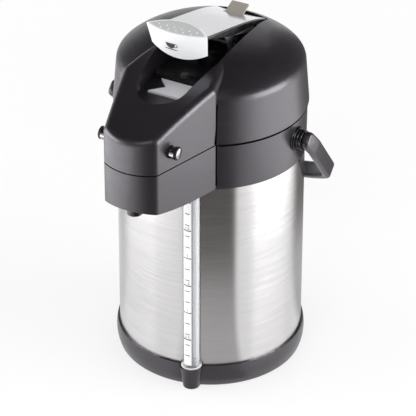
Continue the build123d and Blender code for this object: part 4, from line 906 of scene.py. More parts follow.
@dataclass
class SightGauge:
    """The sight tube, its seals, the white panel and scale printed down its front, and a grey stripe of
    painted shade beside the panel.
    """

    facing: float = -1.0
    skin: float = 0.00002
    panel_wide: float = 0.0075
    panel_thick: float = 0.00008
    ink: float = 0.00006
    zero_z: float = 0.0251
    litre: float = 0.0566
    fifths: int = 15
    short_mark: float = 0.0048
    long_mark: float = 0.0060
    mark_inset: float = 0.0006
    line: float = 0.0008
    long_line: float = 0.0010
    end_wide: float = 0.0010
    end_tall: float = 0.00136
    left_edge: float = -0.0032
    # Where the grey stripe of painted shade lies beside the panel, and how wide it is.
    edge_shade_x: float = 0.0042
    edge_shade_wide: float = 0.0012
    border_low: float = 0.0262
    border_high: float = 0.2045
    digit: float = 0.0040
    digit_lift: float = 0.00128

    def axis(self) -> Vector:
        """The tube's upright axis."""
        low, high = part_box("sight_tube")
        return Vector(((low.x + high.x) / 2, (low.y + high.y) / 2, 0))

    def radius(self) -> float:
        """The radius that the printing lies on, just off the tube."""
        low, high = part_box("sight_tube")
        return (high.x - low.x) / 2 + self.skin

    def wrap(self, shape: bmesh.types.BMesh) -> None:
        """Bends a flat mesh onto the front of the tube.

        Args:
            shape: the mesh, with x along the face, y up and z out of it.
        """
        axis, radius = self.axis(), self.radius()
        for corner in shape.verts:
            out = direction(self.facing + math.degrees(corner.co.x / radius), 0) * (radius + corner.co.z)
            corner.co = Vector((axis.x + out.x, axis.y + out.y, corner.co.y))

    def stripe(self, across: float, wide: float, cuts: int) -> bmesh.types.BMesh:
        """One upright stripe of the panel, still flat.

        Args:
            across: where its middle is, from the middle of the tube's front.
            wide: its width.
            cuts: extra divisions across it, so that it bends round the tube.

        Returns:
            The stripe's mesh.
        """
        shape = bmesh.new()
        tall = self.border_high - self.border_low
        middle = Vector((across, self.border_low + tall / 2, self.panel_thick / 2))
        add_block(shape, (wide, tall, self.panel_thick), middle, cuts)
        return shape

    def marks(self) -> bmesh.types.BMesh:
        """The scale's lines: a short one every fifth of a litre, a long one every half.

        Returns:
            The lines' mesh, still flat.
        """
        shape = bmesh.new()
        for fifth in range(1, self.fifths + 1):
            height = self.zero_z + self.litre * fifth / 5
            middle = Vector((self.left_edge + self.short_mark / 2 + self.mark_inset, height, self.level))
            add_block(shape, (self.short_mark, self.line, self.ink), middle, 5)
        for half, height in self.halves():
            middle = Vector((self.left_edge + self.long_mark / 2, height, self.level))
            if half % 2:
                add_block(shape, (self.long_mark, self.long_line, self.ink), middle, 7)
            for end in (-0.5, 0.5):
                tip = middle + Vector((self.long_mark * end, 0, 0))
                add_block(shape, (self.end_wide, self.end_tall, self.ink), tip, 1)
        return shape

    def halves(self) -> list[tuple[int, float]]:
        """How many half litres each long line stands for, and its height."""
        return [(half, self.zero_z + self.litre * half / 2) for half in range(1, 2 * self.fifths // 5 + 1)]

    def number(self, text: str, height: float) -> bmesh.types.BMesh:
        """One plain number, laid flat above its line.

        Args:
            text: the number.
            height: where its line is.

        Returns:
            The number's mesh, still flat.
        """
        letters = bpy.data.curves.new("number", "FONT")
        letters.body, letters.size, letters.extrude = text, self.digit, self.ink / 2
        letters.align_x, letters.resolution_u = "CENTER", 4
        holder = bpy.data.objects.new("number", letters)
        bpy.context.scene.collection.objects.link(holder)
        bpy.context.view_layer.update()
        mesh = bpy.data.meshes.new_from_object(holder)
        bpy.data.objects.remove(holder)
        shape = bmesh.new()
        shape.from_mesh(mesh)
        bpy.data.meshes.remove(mesh)
        bmesh.ops.remove_doubles(shape, verts=shape.verts, dist=WELD / 10)
        lift = Vector((self.left_edge + self.long_mark / 2, height + self.digit_lift, self.level))
        bmesh.ops.translate(shape, vec=lift, verts=shape.verts)
        return shape

    @property
    def level(self) -> float:
        """How far out the middle of the black ink lies."""
        return self.panel_thick + self.ink / 2

    def numbers(self) -> bmesh.types.BMesh:
        """The numbers of the scale, one each half litre.

        Returns:
            The numbers' mesh, still flat.
        """
        whole = bmesh.new()
        for half, height in self.halves():
            join_into(whole, self.number(f"{half / 2:g}", height))
        return whole

    def build(self) -> None:
        """Dresses the gauge, prints its panel and scale, and lays a grey stripe of painted shade beside the
        panel.
        """
        dress(["sight_tube"], TUBE_CLEAR)
        dress(["scale_strip"], STRIP_WHITE)
        dress(["lower_seal", "upper_seal", "spout_pipe"], SILICONE)
        dress(["outlet_elbow"], RUBBER)
        for name, shape, finish, slot in (
            ("scale_panel", self.stripe(0, self.panel_wide, 19), PANEL_WHITE, "white_plastic"),
            # The grey stripe below is painted shade for the gap's shadow beside the tube.
            ("scale_border", self.stripe(self.edge_shade_x, self.edge_shade_wide, 3), EDGE_SHADE_GREY, "grey_plastic"),
            ("scale_lines", self.marks(), SCALE_INK, "gloss_black"),
            ("scale_numbers", self.numbers(), SCALE_INK, "gloss_black"),
        ):
            self.wrap(shape)
            add_piece(name, shape, "body", finish)


@dataclass
class CreaseShade:
    """A thin black cord in the corner between the beak and the round of the head: painted shade where the
    corner lies in shadow.
    """

    node: str
    side: Side
    low: float
    high: float
    radius: float = 0.0009
    proud: float = 0.0002
    eye: tuple[float, float] = (0.0758, -0.0971)
    aim: float = 142.9
    tries: int = 30
    try_step: float = 0.4
    reach: float = 0.06
    stations: int = 7
    sides: int = 12

    def corner(self, skin: BVHTree, height: float) -> Vector:
        """The deepest point of the corner at a height.

        Args:
            skin: the search tree of the part that has the corner.
            height: where it is looked for.

        Returns:
            The point, a little proud of the corner.
        """
        eye = Vector((self.eye[0] * self.side.value, self.eye[1], height))
        best = (0.0, eye)
        for step in range(-self.tries, self.tries + 1):
            turn = math.radians(self.aim + self.try_step * step)
            way = Vector((math.cos(turn) * self.side.value, math.sin(turn), 0))
            hit, _normal, _face, far = skin.ray_cast(eye, way)
            if hit is not None and best[0] < far < self.reach:
                best = (far, hit - way * self.proud)
        return best[1]

    def cord(self) -> bmesh.types.BMesh:
        """The line's mesh, a thin round cord along the corner.

        Returns:
            The cord's mesh.
        """
        skin = surface_of(self.node)
        shape = bmesh.new()
        rise = (self.high - self.low) / self.stations
        lower = self.corner(skin, self.low)
        bmesh.ops.create_circle(shape, cap_ends=True, segments=self.sides, radius=self.radius)
        bmesh.ops.translate(shape, vec=lower, verts=shape.verts)
        end = shape.faces[:]
        for step in range(1, self.stations + 1):
            upper = self.corner(skin, self.low + rise * step)
            grown = bmesh.ops.extrude_face_region(shape, geom=end)["geom"]
            bmesh.ops.translate(shape, vec=upper - lower, verts=picked(grown, bmesh.types.BMVert))
            if step > 1:
                bmesh.ops.delete(shape, geom=end, context="FACES_ONLY")
            end = picked(grown, bmesh.types.BMFace)
            lower = upper
        bmesh.ops.recalc_face_normals(shape, faces=shape.faces)
        return shape


@dataclass
class CollarHead:
    """The lower half of the head: collar, beak's underside, nozzle, studs and hinge pin."""

    # Painted shade: a black band under the lid's rim that stands for the rim's shadow on the collar.
    rim_shadow_radius: float = 0.0846
    rim_shadow_drop: float = 0.0014
    rim_shadow_depth: float = 0.0012
    rim_shadow_gap: float = 0.0001
    rim_shadow_lip: float = 0.0003
    rim_shadow_from: float = 33.0
    rim_shadow_to: float = 159.0
    rim_shadow_steps: int = 64
    # Height span of the black painted shade lines in the corners between the beak and the collar.
    crease_shade_low: float = 0.2100
    crease_shade_high: float = 0.2490
    # Painted shade: a black strip set back in the beak's seam gap, which stands for the shadow inside it.
    strip_set: float = 0.0003
    strip_thick: float = 0.0013
    strip_low: float = 0.24945
    strip_tall: float = 0.0011
    strip_sweep: float = 118.0
    strip_steps: int = 48
    strip_probe: float = 0.0018
    strip_eye: float = 0.09
    beak_centre: tuple[float, float] = (0.0, -0.100)
    front_quarter: float = 0.05
    stud_z: float = 0.231
    stud_foot: float = 0.0824
    stud_profile: Corners = (
        (0.0, 0.0),
        (0.0110, 0.0),
        (0.0110, 0.0018),
        (0.0107, 0.0021),
        (0.0098, 0.0021),
        (0.0098, 0.0027),
        (0.0106, 0.0027),
        (0.0106, 0.0035),
        (0.0103, 0.0038),
        (0.0090, 0.0038),
        (0.0090, 0.0057),
        (0.0087, 0.0060),
        (0.0078, 0.0060),
        (0.0078, 0.0066),
        (0.0087, 0.0066),
        (0.0090, 0.0069),
        (0.0090, 0.0089),
        (0.0087, 0.0092),
        (0.0050, 0.0092),
        (0.0050, 0.0152),
        (0.0044, 0.0158),
        (0.0, 0.0158),
    )

    def rim_shadow_band(self, side: Side) -> bmesh.types.BMesh:
        """A thin black band under the lid's rim, on one side of the collar: painted shade for the shadow
        the rim casts.

        Args:
            side: the side it runs round.

        Returns:
            The bead's mesh.
        """
        top = self.seam() - self.rim_shadow_gap
        low, inner = top - self.rim_shadow_drop, self.rim_shadow_radius - self.rim_shadow_depth
        lip = self.rim_shadow_lip
        corners = (
            (inner, low),
            (self.rim_shadow_radius - lip, low),
            (self.rim_shadow_radius, low + lip),
            (self.rim_shadow_radius, top - lip),
            (self.rim_shadow_radius - lip, top),
            (inner, top),
        )
        shape = bmesh.new()
        start = direction(self.rim_shadow_from * side.value, 0)
        made = [shape.verts.new((start.x * r, start.y * r, z)) for r, z in corners]
        end = shape.faces.new(made)
        bmesh.ops.spin(
            shape,
            geom=[end],
            cent=(0, 0, 0),
            axis=(0, 0, 1),
            angle=math.radians(self.rim_shadow_to - self.rim_shadow_from) * side.value,
            steps=self.rim_shadow_steps,
        )
        bmesh.ops.recalc_face_normals(shape, faces=shape.faces)
        return shape

    def strip(self) -> bmesh.types.BMesh:
        """The thin black strip set back in the seam round the beak: painted shade for the shadow inside the
        gap.

        Returns:
            The strip's mesh.
        """
        skin = surface_of("lid_shell")
        middle = Vector((*self.beak_centre, self.strip_low + self.strip_probe))
        shape = bmesh.new()
        corners = []
        for step in range(2 * self.strip_steps + 1):
            out = direction(self.strip_sweep * (step / self.strip_steps - 1), 0)
            eye = middle + out * self.strip_eye
            hit, _normal, _face, _far = skin.ray_cast(eye, -out)
            if hit is not None:
                point = hit - out * self.strip_set
                corners.append(shape.verts.new((point.x, point.y, self.strip_low)))
        edges = [shape.edges.new(pair) for pair in zip(corners, corners[1:])]
        grown = bmesh.ops.extrude_edge_only(shape, edges=edges)["geom"]
        bmesh.ops.translate(shape, vec=(0, 0, self.strip_tall), verts=picked(grown, bmesh.types.BMVert))
        bmesh.ops.recalc_face_normals(shape, faces=shape.faces)
        if sum(f.normal.dot(f.calc_center_median() - middle) for f in shape.faces) < 0:
            bmesh.ops.reverse_faces(shape, faces=shape.faces)
        bmesh.ops.solidify(shape, geom=shape.faces[:], thickness=self.strip_thick)
        bmesh.ops.recalc_face_normals(shape, faces=shape.faces)
        return shape

    def stud(self, side: Side) -> bmesh.types.BMesh:
        """One stepped pivot stud, whose pin ends inside the bail's arm.

        Args:
            side: the side of the pot that it stands on.

        Returns:
            The stud's mesh.
        """
        along = Vector((side.value, 0, 0))
        foot = Vector((side.value * self.stud_foot, 0, self.stud_z))
        return turned_solid(self.stud_profile, foot, along)

    def seam(self) -> float:
        """The height of the collar's top edge, where the lid's rim sits over it."""
        corners = [v.co for v in frame["nodes"]["collar"].data.vertices]
        return max(co.z for co in corners if co.y < -self.front_quarter and co.x > self.front_quarter)

    def build(self) -> None:
        """Dresses the head's lower half."""
        for side in Side:
            word = side.name.lower()
            # Black pieces of painted shade: the rim's shadow, and the shade lines in the corners by the
            # beak.
            add_piece(f"seam_bead_{word}", self.rim_shadow_band(side), "body", SHADE_LINE_BLACK)
            shade_line = CreaseShade("collar", side, self.crease_shade_low, self.crease_shade_high)
            add_piece(f"collar_groove_{word}", shade_line.cord(), "body", SHADE_LINE_BLACK)
            stud = add_piece(f"pivot_{word}", self.stud(side), "body", STUD_BLACK)
            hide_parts(f"pivot_stud_{word}")
        # Painted shade inside the beak's seam gap.
        add_piece("beak_seam_strip", self.strip(), "body", SHADE_LINE_BLACK)
        dress(["collar"], HEAD_BLACK)
        dress(["mouth_ring"], INNER_BLACK)
        dress(["mouth_gasket"], SILICONE)
        dress(["nozzle"], GLOSS_BLACK)
        dress(["hinge_pin"], PIN_STEEL)


@dataclass
class FlipLid:
    """The domed lid with the beak's top half, and the pump that hangs in it."""

    # Height span of the black painted shade lines in the corners between the beak and the dome.
    crease_shade_low: float = 0.2512
    crease_shade_high: float = 0.2880
    stroke: float = 0.0077

    def squeezed(self, node: str, name: str, finish: Finish) -> None:
        """Swaps a soft or springy part for a piece with its own copy of the mesh.

        Args:
            node: the solid it stands for.
            name: the piece's name.
            finish: its finish.
        """
        made = add_piece(name, merged_copy(node), "lid", finish)
        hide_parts(node)
        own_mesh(made)

    def build(self) -> None:
        """Dresses the lid and what it holds, and lays black lines of painted shade in its two corners."""
        self.squeezed("bellows", "bellows_folds", RUBBER)
        self.squeezed("return_spring", "return_coil", SPRING_WIRE)
        for side in Side:
            # Painted shade: a black cord in each corner between the beak and the dome.
            shade_line = CreaseShade("lid_shell", side, self.crease_shade_low, self.crease_shade_high)
            add_piece(f"lid_groove_{side.name.lower()}", shade_line.cord(), "lid", SHADE_LINE_BLACK)
        dress(["lid_shell"], HEAD_BLACK)
        dress(["lid_base"], INNER_BLACK)
        dress(["lid_screws"], SCREW_STEEL)
        dress(["lid_seal", "air_valve"], SILICONE)
        dress(["strip_plate"], PLATE_GREY)
        dress(["stop_bar"], CHANNEL_BLACK)
        dress(["plunger"], GLOSS_BLACK)
        dress(["bumper"], RUBBER)
        dress(["lever_axle"], PIN_STEEL)
        dress(["button_spring_left", "button_spring_right"], SPRING_WIRE)
        dress(["push_cap"], BLACKED_STEEL)


@dataclass
class PumpLever:
    """The raised steel lever with its grip, grey inlay, lock tab and push parts."""

    dot: float = 0.0008
    dot_rise: float = 0.0004
    dot_pitch: float = 0.0072
    rows: tuple[tuple[float, int], ...] = ((-0.0622, 5), (-0.0580, 6))
    flange_front: float = -0.040
    flange_back: float = 0.034
    flange_short: float = 0.0016
    flange_tall: float = 0.0062
    flange_thick: float = 0.0011
    flange_x: float = 0.0234
    flange_run: float = 0.8
    flange_round: float = 0.0003
    lever_foot: tuple[float, float] = (0.055, 0.3069)
    lever_head: tuple[float, float] = (-0.0615, 0.3406)
    lever_thick: float = 0.0015
    mark_width: float = 0.0130
    mark_rise: float = 0.00012
    mark_side: float = -0.0050
    mark_drop: float = 0.0138
    mark_bowl: float = 0.36
    mark_depth: float = 1.25
    mark_ear: tuple[float, float] = (0.165, 0.105)
    mark_ear_at: Triple = (0.37, -0.15, 0.0)
    mark_dish: Triple = (0.5, 0.09, -0.52)
    mark_edge: float = 0.0007
    lever_inside: float = 0.9
    eye_above: float = 0.5
    eye_ahead: float = 0.05

    def dots(self) -> bmesh.types.BMesh:
        """Small raised dots on the inlay, in staggered rows along its front edge.

        Returns:
            The dots' mesh.
        """
        top = surface_of("grip_inlay")
        shape = bmesh.new()
        for y, count in self.rows:
            for index in range(count):
                x = (index - (count - 1) / 2) * self.dot_pitch
                eye = Vector((x, y, self.eye_above))
                hit, normal, _face, _far = top.ray_cast(eye, Vector((0, 0, -1)))
                if hit is None:
                    continue
                made = bmesh.ops.create_icosphere(shape, subdivisions=2, radius=self.dot)["verts"]
                bmesh.ops.scale(shape, vec=(1, 1, self.dot_rise / self.dot), verts=made)
                turn = normal.to_track_quat("Z", "Y").to_matrix().to_4x4()
                bmesh.ops.transform(shape, matrix=Matrix.Translation(hit) @ turn, verts=made)
        return shape

    def flange(self, side: Side) -> bmesh.types.BMesh:
        """One downturned edge of the lever, deeper towards the axle.

        Args:
            side: the edge it hangs from.

        Returns:
            The flange's mesh.
        """
        (foot_y, foot_z), (head_y, head_z) = self.lever_foot, self.lever_head
        slope = math.atan2(head_z - foot_z, foot_y - head_y)
        length = (self.flange_back - self.flange_front) / math.cos(slope)
        shape = bmesh.new()
        made = bmesh.ops.create_cube(shape, size=1.0)["verts"]
        bmesh.ops.scale(shape, vec=(self.flange_thick, length, self.flange_tall), verts=made)
        bmesh.ops.translate(shape, vec=(0, length / 2, -self.flange_tall / 2), verts=made)
        drop = math.atan2(self.flange_tall - self.flange_short, length * self.flange_run)
        cut = bmesh.ops.bisect_plane(
            shape,
            geom=everything(shape),
            plane_co=(0, 0, -self.flange_short),
            plane_no=(0, -math.sin(drop), -math.cos(drop)),
            clear_outer=True,
        )["geom_cut"]
        bmesh.ops.edgenet_fill(shape, edges=picked(cut, bmesh.types.BMEdge))
        bmesh.ops.recalc_face_normals(shape, faces=shape.faces)
        soften(shape, sharp_edges(shape, 30), self.flange_round, 2)
        at = foot_z + (foot_y - self.flange_front) * math.tan(slope)
        at -= self.lever_thick * self.lever_inside / math.cos(slope)
        turn = Matrix.Rotation(-slope, 4, "X")
        place = Matrix.Translation((side.value * self.flange_x, self.flange_front, at))
        bmesh.ops.transform(shape, matrix=place @ turn, verts=shape.verts)
        return shape

    def cup_outline(self) -> bmesh.types.BMesh:
        """A plain cup on a saucer, drawn flat: x across, y up.

        Returns:
            The flat mesh.
        """
        shape = bmesh.new()
        wide = self.mark_width
        bmesh.ops.create_circle(shape, cap_ends=True, segments=40, radius=wide * self.mark_bowl)
        bmesh.ops.bisect_plane(
            shape, geom=everything(shape), plane_co=(0, 0, 0), plane_no=(0, 1, 0), clear_outer=True
        )
        bmesh.ops.scale(shape, vec=(1, self.mark_depth, 1), verts=shape.verts[:])
        loops = []
        for radius in self.mark_ear:
            ring = bmesh.ops.create_circle(shape, segments=28, radius=wide * radius)["verts"]
            bmesh.ops.translate(shape, vec=Vector(self.mark_ear_at) * wide, verts=ring)
            loops += list({edge for corner in ring for edge in corner.link_edges})
        bmesh.ops.bridge_loops(shape, edges=loops)
        radius, flat, drop = self.mark_dish
        dish = bmesh.ops.create_circle(shape, cap_ends=True, segments=40, radius=wide * radius)["verts"]
        bmesh.ops.scale(shape, vec=(1, flat, 1), verts=dish)
        bmesh.ops.translate(shape, vec=(0, wide * drop, 0), verts=dish)
        return shape

    def cup_mark(self) -> bmesh.types.BMesh:
        """The cup laid on the grip's front face.

        Returns:
            The mark's mesh.
        """
        face = surface_of("grip")
        low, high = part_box("grip")
        shape = self.cup_outline()
        bmesh.ops.triangulate(shape, faces=shape.faces)
        for _round in range(3):
            long = [e for e in shape.edges if e.calc_length() > self.mark_edge]
            bmesh.ops.subdivide_edges(shape, edges=long, cuts=1)
            bmesh.ops.triangulate(shape, faces=shape.faces)
        bmesh.ops.recalc_face_normals(shape, faces=shape.faces)
        for corner in shape.verts:
            x = self.mark_side + corner.co.x
            z = high.z - self.mark_drop + corner.co.y
            eye = Vector((x, low.y - self.eye_ahead, z))
            hit, normal, _face, _far = face.ray_cast(eye, Vector((0, 1, 0)))
            corner.co = hit + normal * self.mark_rise if hit else Vector((x, low.y, z))
        bmesh.ops.reverse_faces(shape, faces=[f for f in shape.faces if f.normal.y > 0])
        return shape

    def build(self) -> None:
        """Dresses the lever and adds its small pieces."""
        dress(["lever"], LEVER_STEEL)
        dress(["grip"], GRIP_WHITE)
        dress(["grip_inlay"], INLAY_GREY)
        dress(["push_bracket"], FLANGE_STEEL)
        dress(["push_pin"], BLACKED_STEEL)
        dress(["lock_pin"], PIN_STEEL)
        for side in Side:
            name = f"lever_flange_{side.name.lower()}"
            add_piece(name, self.flange(side), "lever", FLANGE_STEEL)
        dress(["lock_tab"], TAB_TAUPE)
        add_piece("inlay_dots", self.dots(), "lever", GRIP_WHITE)
        add_piece("grip_cup_mark", self.cup_mark(), "lever", MARK_INK)


@dataclass
class ReleaseButtons:
    """The two bright buttons on the beak's sides, with their latches."""

    band_from: float = 0.0312
    band_to: float = 0.0350
    rim_inner: float = 0.0045
    knob_profile: Corners = (
        (0.0, 0.0080),
        (0.0034, 0.0080),
        (0.0034, 0.0),
        (0.0056, 0.0),
        (0.0058, 0.0002),
        (0.0058, 0.0122),
        (0.0058, 0.0160),
        (0.0058, 0.0176),
        (0.00565, 0.0181),
        (0.0052, 0.0184),
        (0.0046, 0.01855),
        (0.0025, 0.0189),
        (0.0, 0.0190),
    )

    def knob(self, side: Side) -> bmesh.types.BMesh:
        """One plated button with a slightly crowned face and a pocket for its spring.

        Args:
            side: the side of the beak that it is on.

        Returns:
            The button's mesh.
        """
        low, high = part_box(f"button_{side.name.lower()}")
        back = low.x if side is Side.RIGHT else high.x
        foot = Vector((back, (low.y + high.y) / 2, (low.z + high.z) / 2))
        return turned_solid(self.knob_profile, foot, Vector((side.value, 0, 0)))

    def build(self) -> None:
        """Builds the buttons and dresses the latches."""
        for side in Side:
            name = f"button_{side.name.lower()}"
            made = add_piece(f"plated_{name}", self.knob(side), name, BUTTON_PLATE)
            made.data.materials.append(SHELF.get(CHANNEL_BLACK))
            low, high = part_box(name)
            axis = Vector((0, (low.y + high.y) / 2, (low.z + high.z) / 2))
            for face in made.data.polygons:
                out = face.center - axis
                round_side = Vector((0, out.y, out.z)).length > self.rim_inner
                face.material_index = int(round_side and not self.band_from < abs(out.x) < self.band_to)
            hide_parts(name)
        dress(["latch_left", "latch_right"], INNER_BLACK)


@dataclass
class BailHandle:
    """The swinging handle: two flat arms and a bowed grip, swept from one flat bar with rounded edges."""

    pivot_z: float = 0.231
    tilt: float = 45.0
    half: float = 0.0957
    thick: float = 0.0074
    tall: float = 0.0150
    end: float = -0.0086
    straight: float = 0.0120
    shoulder: float = 8.6
    arm: float = 0.0740
    elbow: float = 35.0
    elbow_radius: float = 0.0130
    shoulder_radius: float = 0.03
    end_round: float = 0.0048
    edge_round: float = 0.0024

    def sweep(self) -> bmesh.types.BMesh:
        """Half of the bar, from its free end to the middle of the grip.

        Returns:
            The half bar, with x across the pot and y along the arms.
        """
        shape = bmesh.new()
        bar = bmesh.ops.create_grid(shape, x_segments=1, y_segments=1, size=0.5)["verts"]
        bmesh.ops.scale(shape, vec=(self.thick, self.tall, 1), verts=bar)
        bmesh.ops.rotate(shape, cent=(0, 0, 0), matrix=Matrix.Rotation(-math.pi / 2, 3, "X"), verts=bar)
        bmesh.ops.translate(shape, vec=(self.half, self.end, 0), verts=bar)
        face = shape.faces[:]
        heading = 0.0

        def go(face: list[bmesh.types.BMFace], length: float) -> list[bmesh.types.BMFace]:
            """Runs the bar straight on.

            Args:
                face: the bar's open end.
                length: how far it runs.

            Returns:
                The new end.
            """
            grown = bmesh.ops.extrude_face_region(shape, geom=face)["geom"]
            bmesh.ops.delete(shape, geom=face, context="FACES_ONLY")
            way = Vector((-math.sin(heading), math.cos(heading), 0)) * length
            bmesh.ops.translate(shape, vec=way, verts=picked(grown, bmesh.types.BMVert))
            return picked(grown, bmesh.types.BMFace)

        def bend(
            face: list[bmesh.types.BMFace], angle: float, radius: float, steps: int
        ) -> list[bmesh.types.BMFace]:
            """Bends the bar towards the middle.

            Args:
                face: the bar's open end.
                angle: the bend in degrees.
                radius: the bend's radius.
                steps: its divisions.

            Returns:
                The new end.
            """
            inward = Vector((-math.cos(heading), -math.sin(heading), 0))
            centre = face[0].calc_center_median() + inward * radius
            grown = bmesh.ops.spin(
                shape, geom=face, cent=centre, axis=(0, 0, 1), angle=math.radians(angle), steps=steps
            )["geom_last"]
            bmesh.ops.delete(shape, geom=[f for f in face if f.is_valid], context="FACES_ONLY")
            return picked(grown, bmesh.types.BMFace)

        face[0].copy()  # stays behind and closes the free end
        face = go(face, self.straight - self.end)
        face = bend(face, self.shoulder, self.shoulder_radius, 2)
        heading = math.radians(self.shoulder)
        face = go(face, self.arm)
        face = bend(face, self.elbow, self.elbow_radius, 8)
        heading = math.radians(self.shoulder + self.elbow)
        left = 90 - self.shoulder - self.elbow
        radius = face[0].calc_center_median().x / math.sin(math.radians(left))
        face = bend(face, left, radius, 14)
        bmesh.ops.delete(shape, geom=face, context="FACES_ONLY")
        return shape

    def bar(self) -> bmesh.types.BMesh:
        """The whole bar with rounded ends and edges, laid at its resting tilt.

        Returns:
            The bar's mesh.
        """
        shape = self.sweep()
        bmesh.ops.mirror(shape, geom=everything(shape), axis="X", merge_dist=NEAR)
        bmesh.ops.remove_doubles(shape, verts=shape.verts, dist=WELD)
        bmesh.ops.recalc_face_normals(shape, faces=shape.faces)
        free = [e for e in shape.edges if all(v.co.y < self.end + NEAR for v in e.verts)]
        tip = [e for e in free if abs(e.verts[0].co.z - e.verts[1].co.z) < NEAR]
        soften(shape, tip, self.end_round, 6)
        soften(shape, sharp_edges(shape, 40), self.edge_round, 4)
        turn = Matrix.Translation((0, 0, self.pivot_z)) @ Matrix.Rotation(-math.radians(self.tilt), 4, "X")
        bmesh.ops.transform(shape, matrix=turn, verts=shape.verts)
        return shape

    def build(self) -> None:
        """Builds the handle."""
        made = add_piece("bail_bar", self.bar(), "bail", HEAD_BLACK)
        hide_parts("bail")


# -------------------------------------------------------------------- studio


def area_lamp(name: str, width: float, depth: float, watts: float) -> bpy.types.Object:
    """Adds a rectangular lamp to the scene.

    Args:
        name: the lamp's name.
        width: its first side.
        depth: its second side.
        watts: its power.

    Returns:
        The lamp's object, still to be placed.
    """
    light = bpy.data.lights.new(name, "AREA")
    light.shape, light.size, light.size_y, light.energy = "RECTANGLE", width, depth, watts
    lamp = bpy.data.objects.new(name, light)
    bpy.context.scene.collection.objects.link(lamp)
    LOG.info("added lamp %s", name)
    return lamp


@dataclass(frozen=True)
class SoftBox:
    """A soft square lamp that points at the pot's middle."""

    name: str
    azimuth: float
    elevation: float
    distance: float
    width: float
    height: float
    watts: float

    def hang(self, target: Vector) -> None:
        """Hangs the lamp.

        Args:
            target: the point it faces.
        """
        lamp = area_lamp(self.name, self.width, self.height, self.watts)
        back = direction(self.azimuth, self.elevation)
        lamp.location = target + back * self.distance
        lamp.rotation_mode = "QUATERNION"
        lamp.rotation_quaternion = back.to_track_quat("Z", "Y")


@dataclass(frozen=True)
class LightTable:
    """A glowing panel let into the floor, which lights the pot's sides from below."""

    name: str
    azimuth: float
    reach: float
    width: float
    depth: float
    watts: float
    lift: float = 0.004

    def lay(self) -> None:
        """Lays the panel, facing up."""
        lamp = area_lamp(self.name, self.width, self.depth, self.watts)
        lamp.location = direction(self.azimuth, 0) * self.reach + Vector((0, 0, self.lift))
        lamp.rotation_euler = (math.pi, 0, math.radians(self.azimuth))


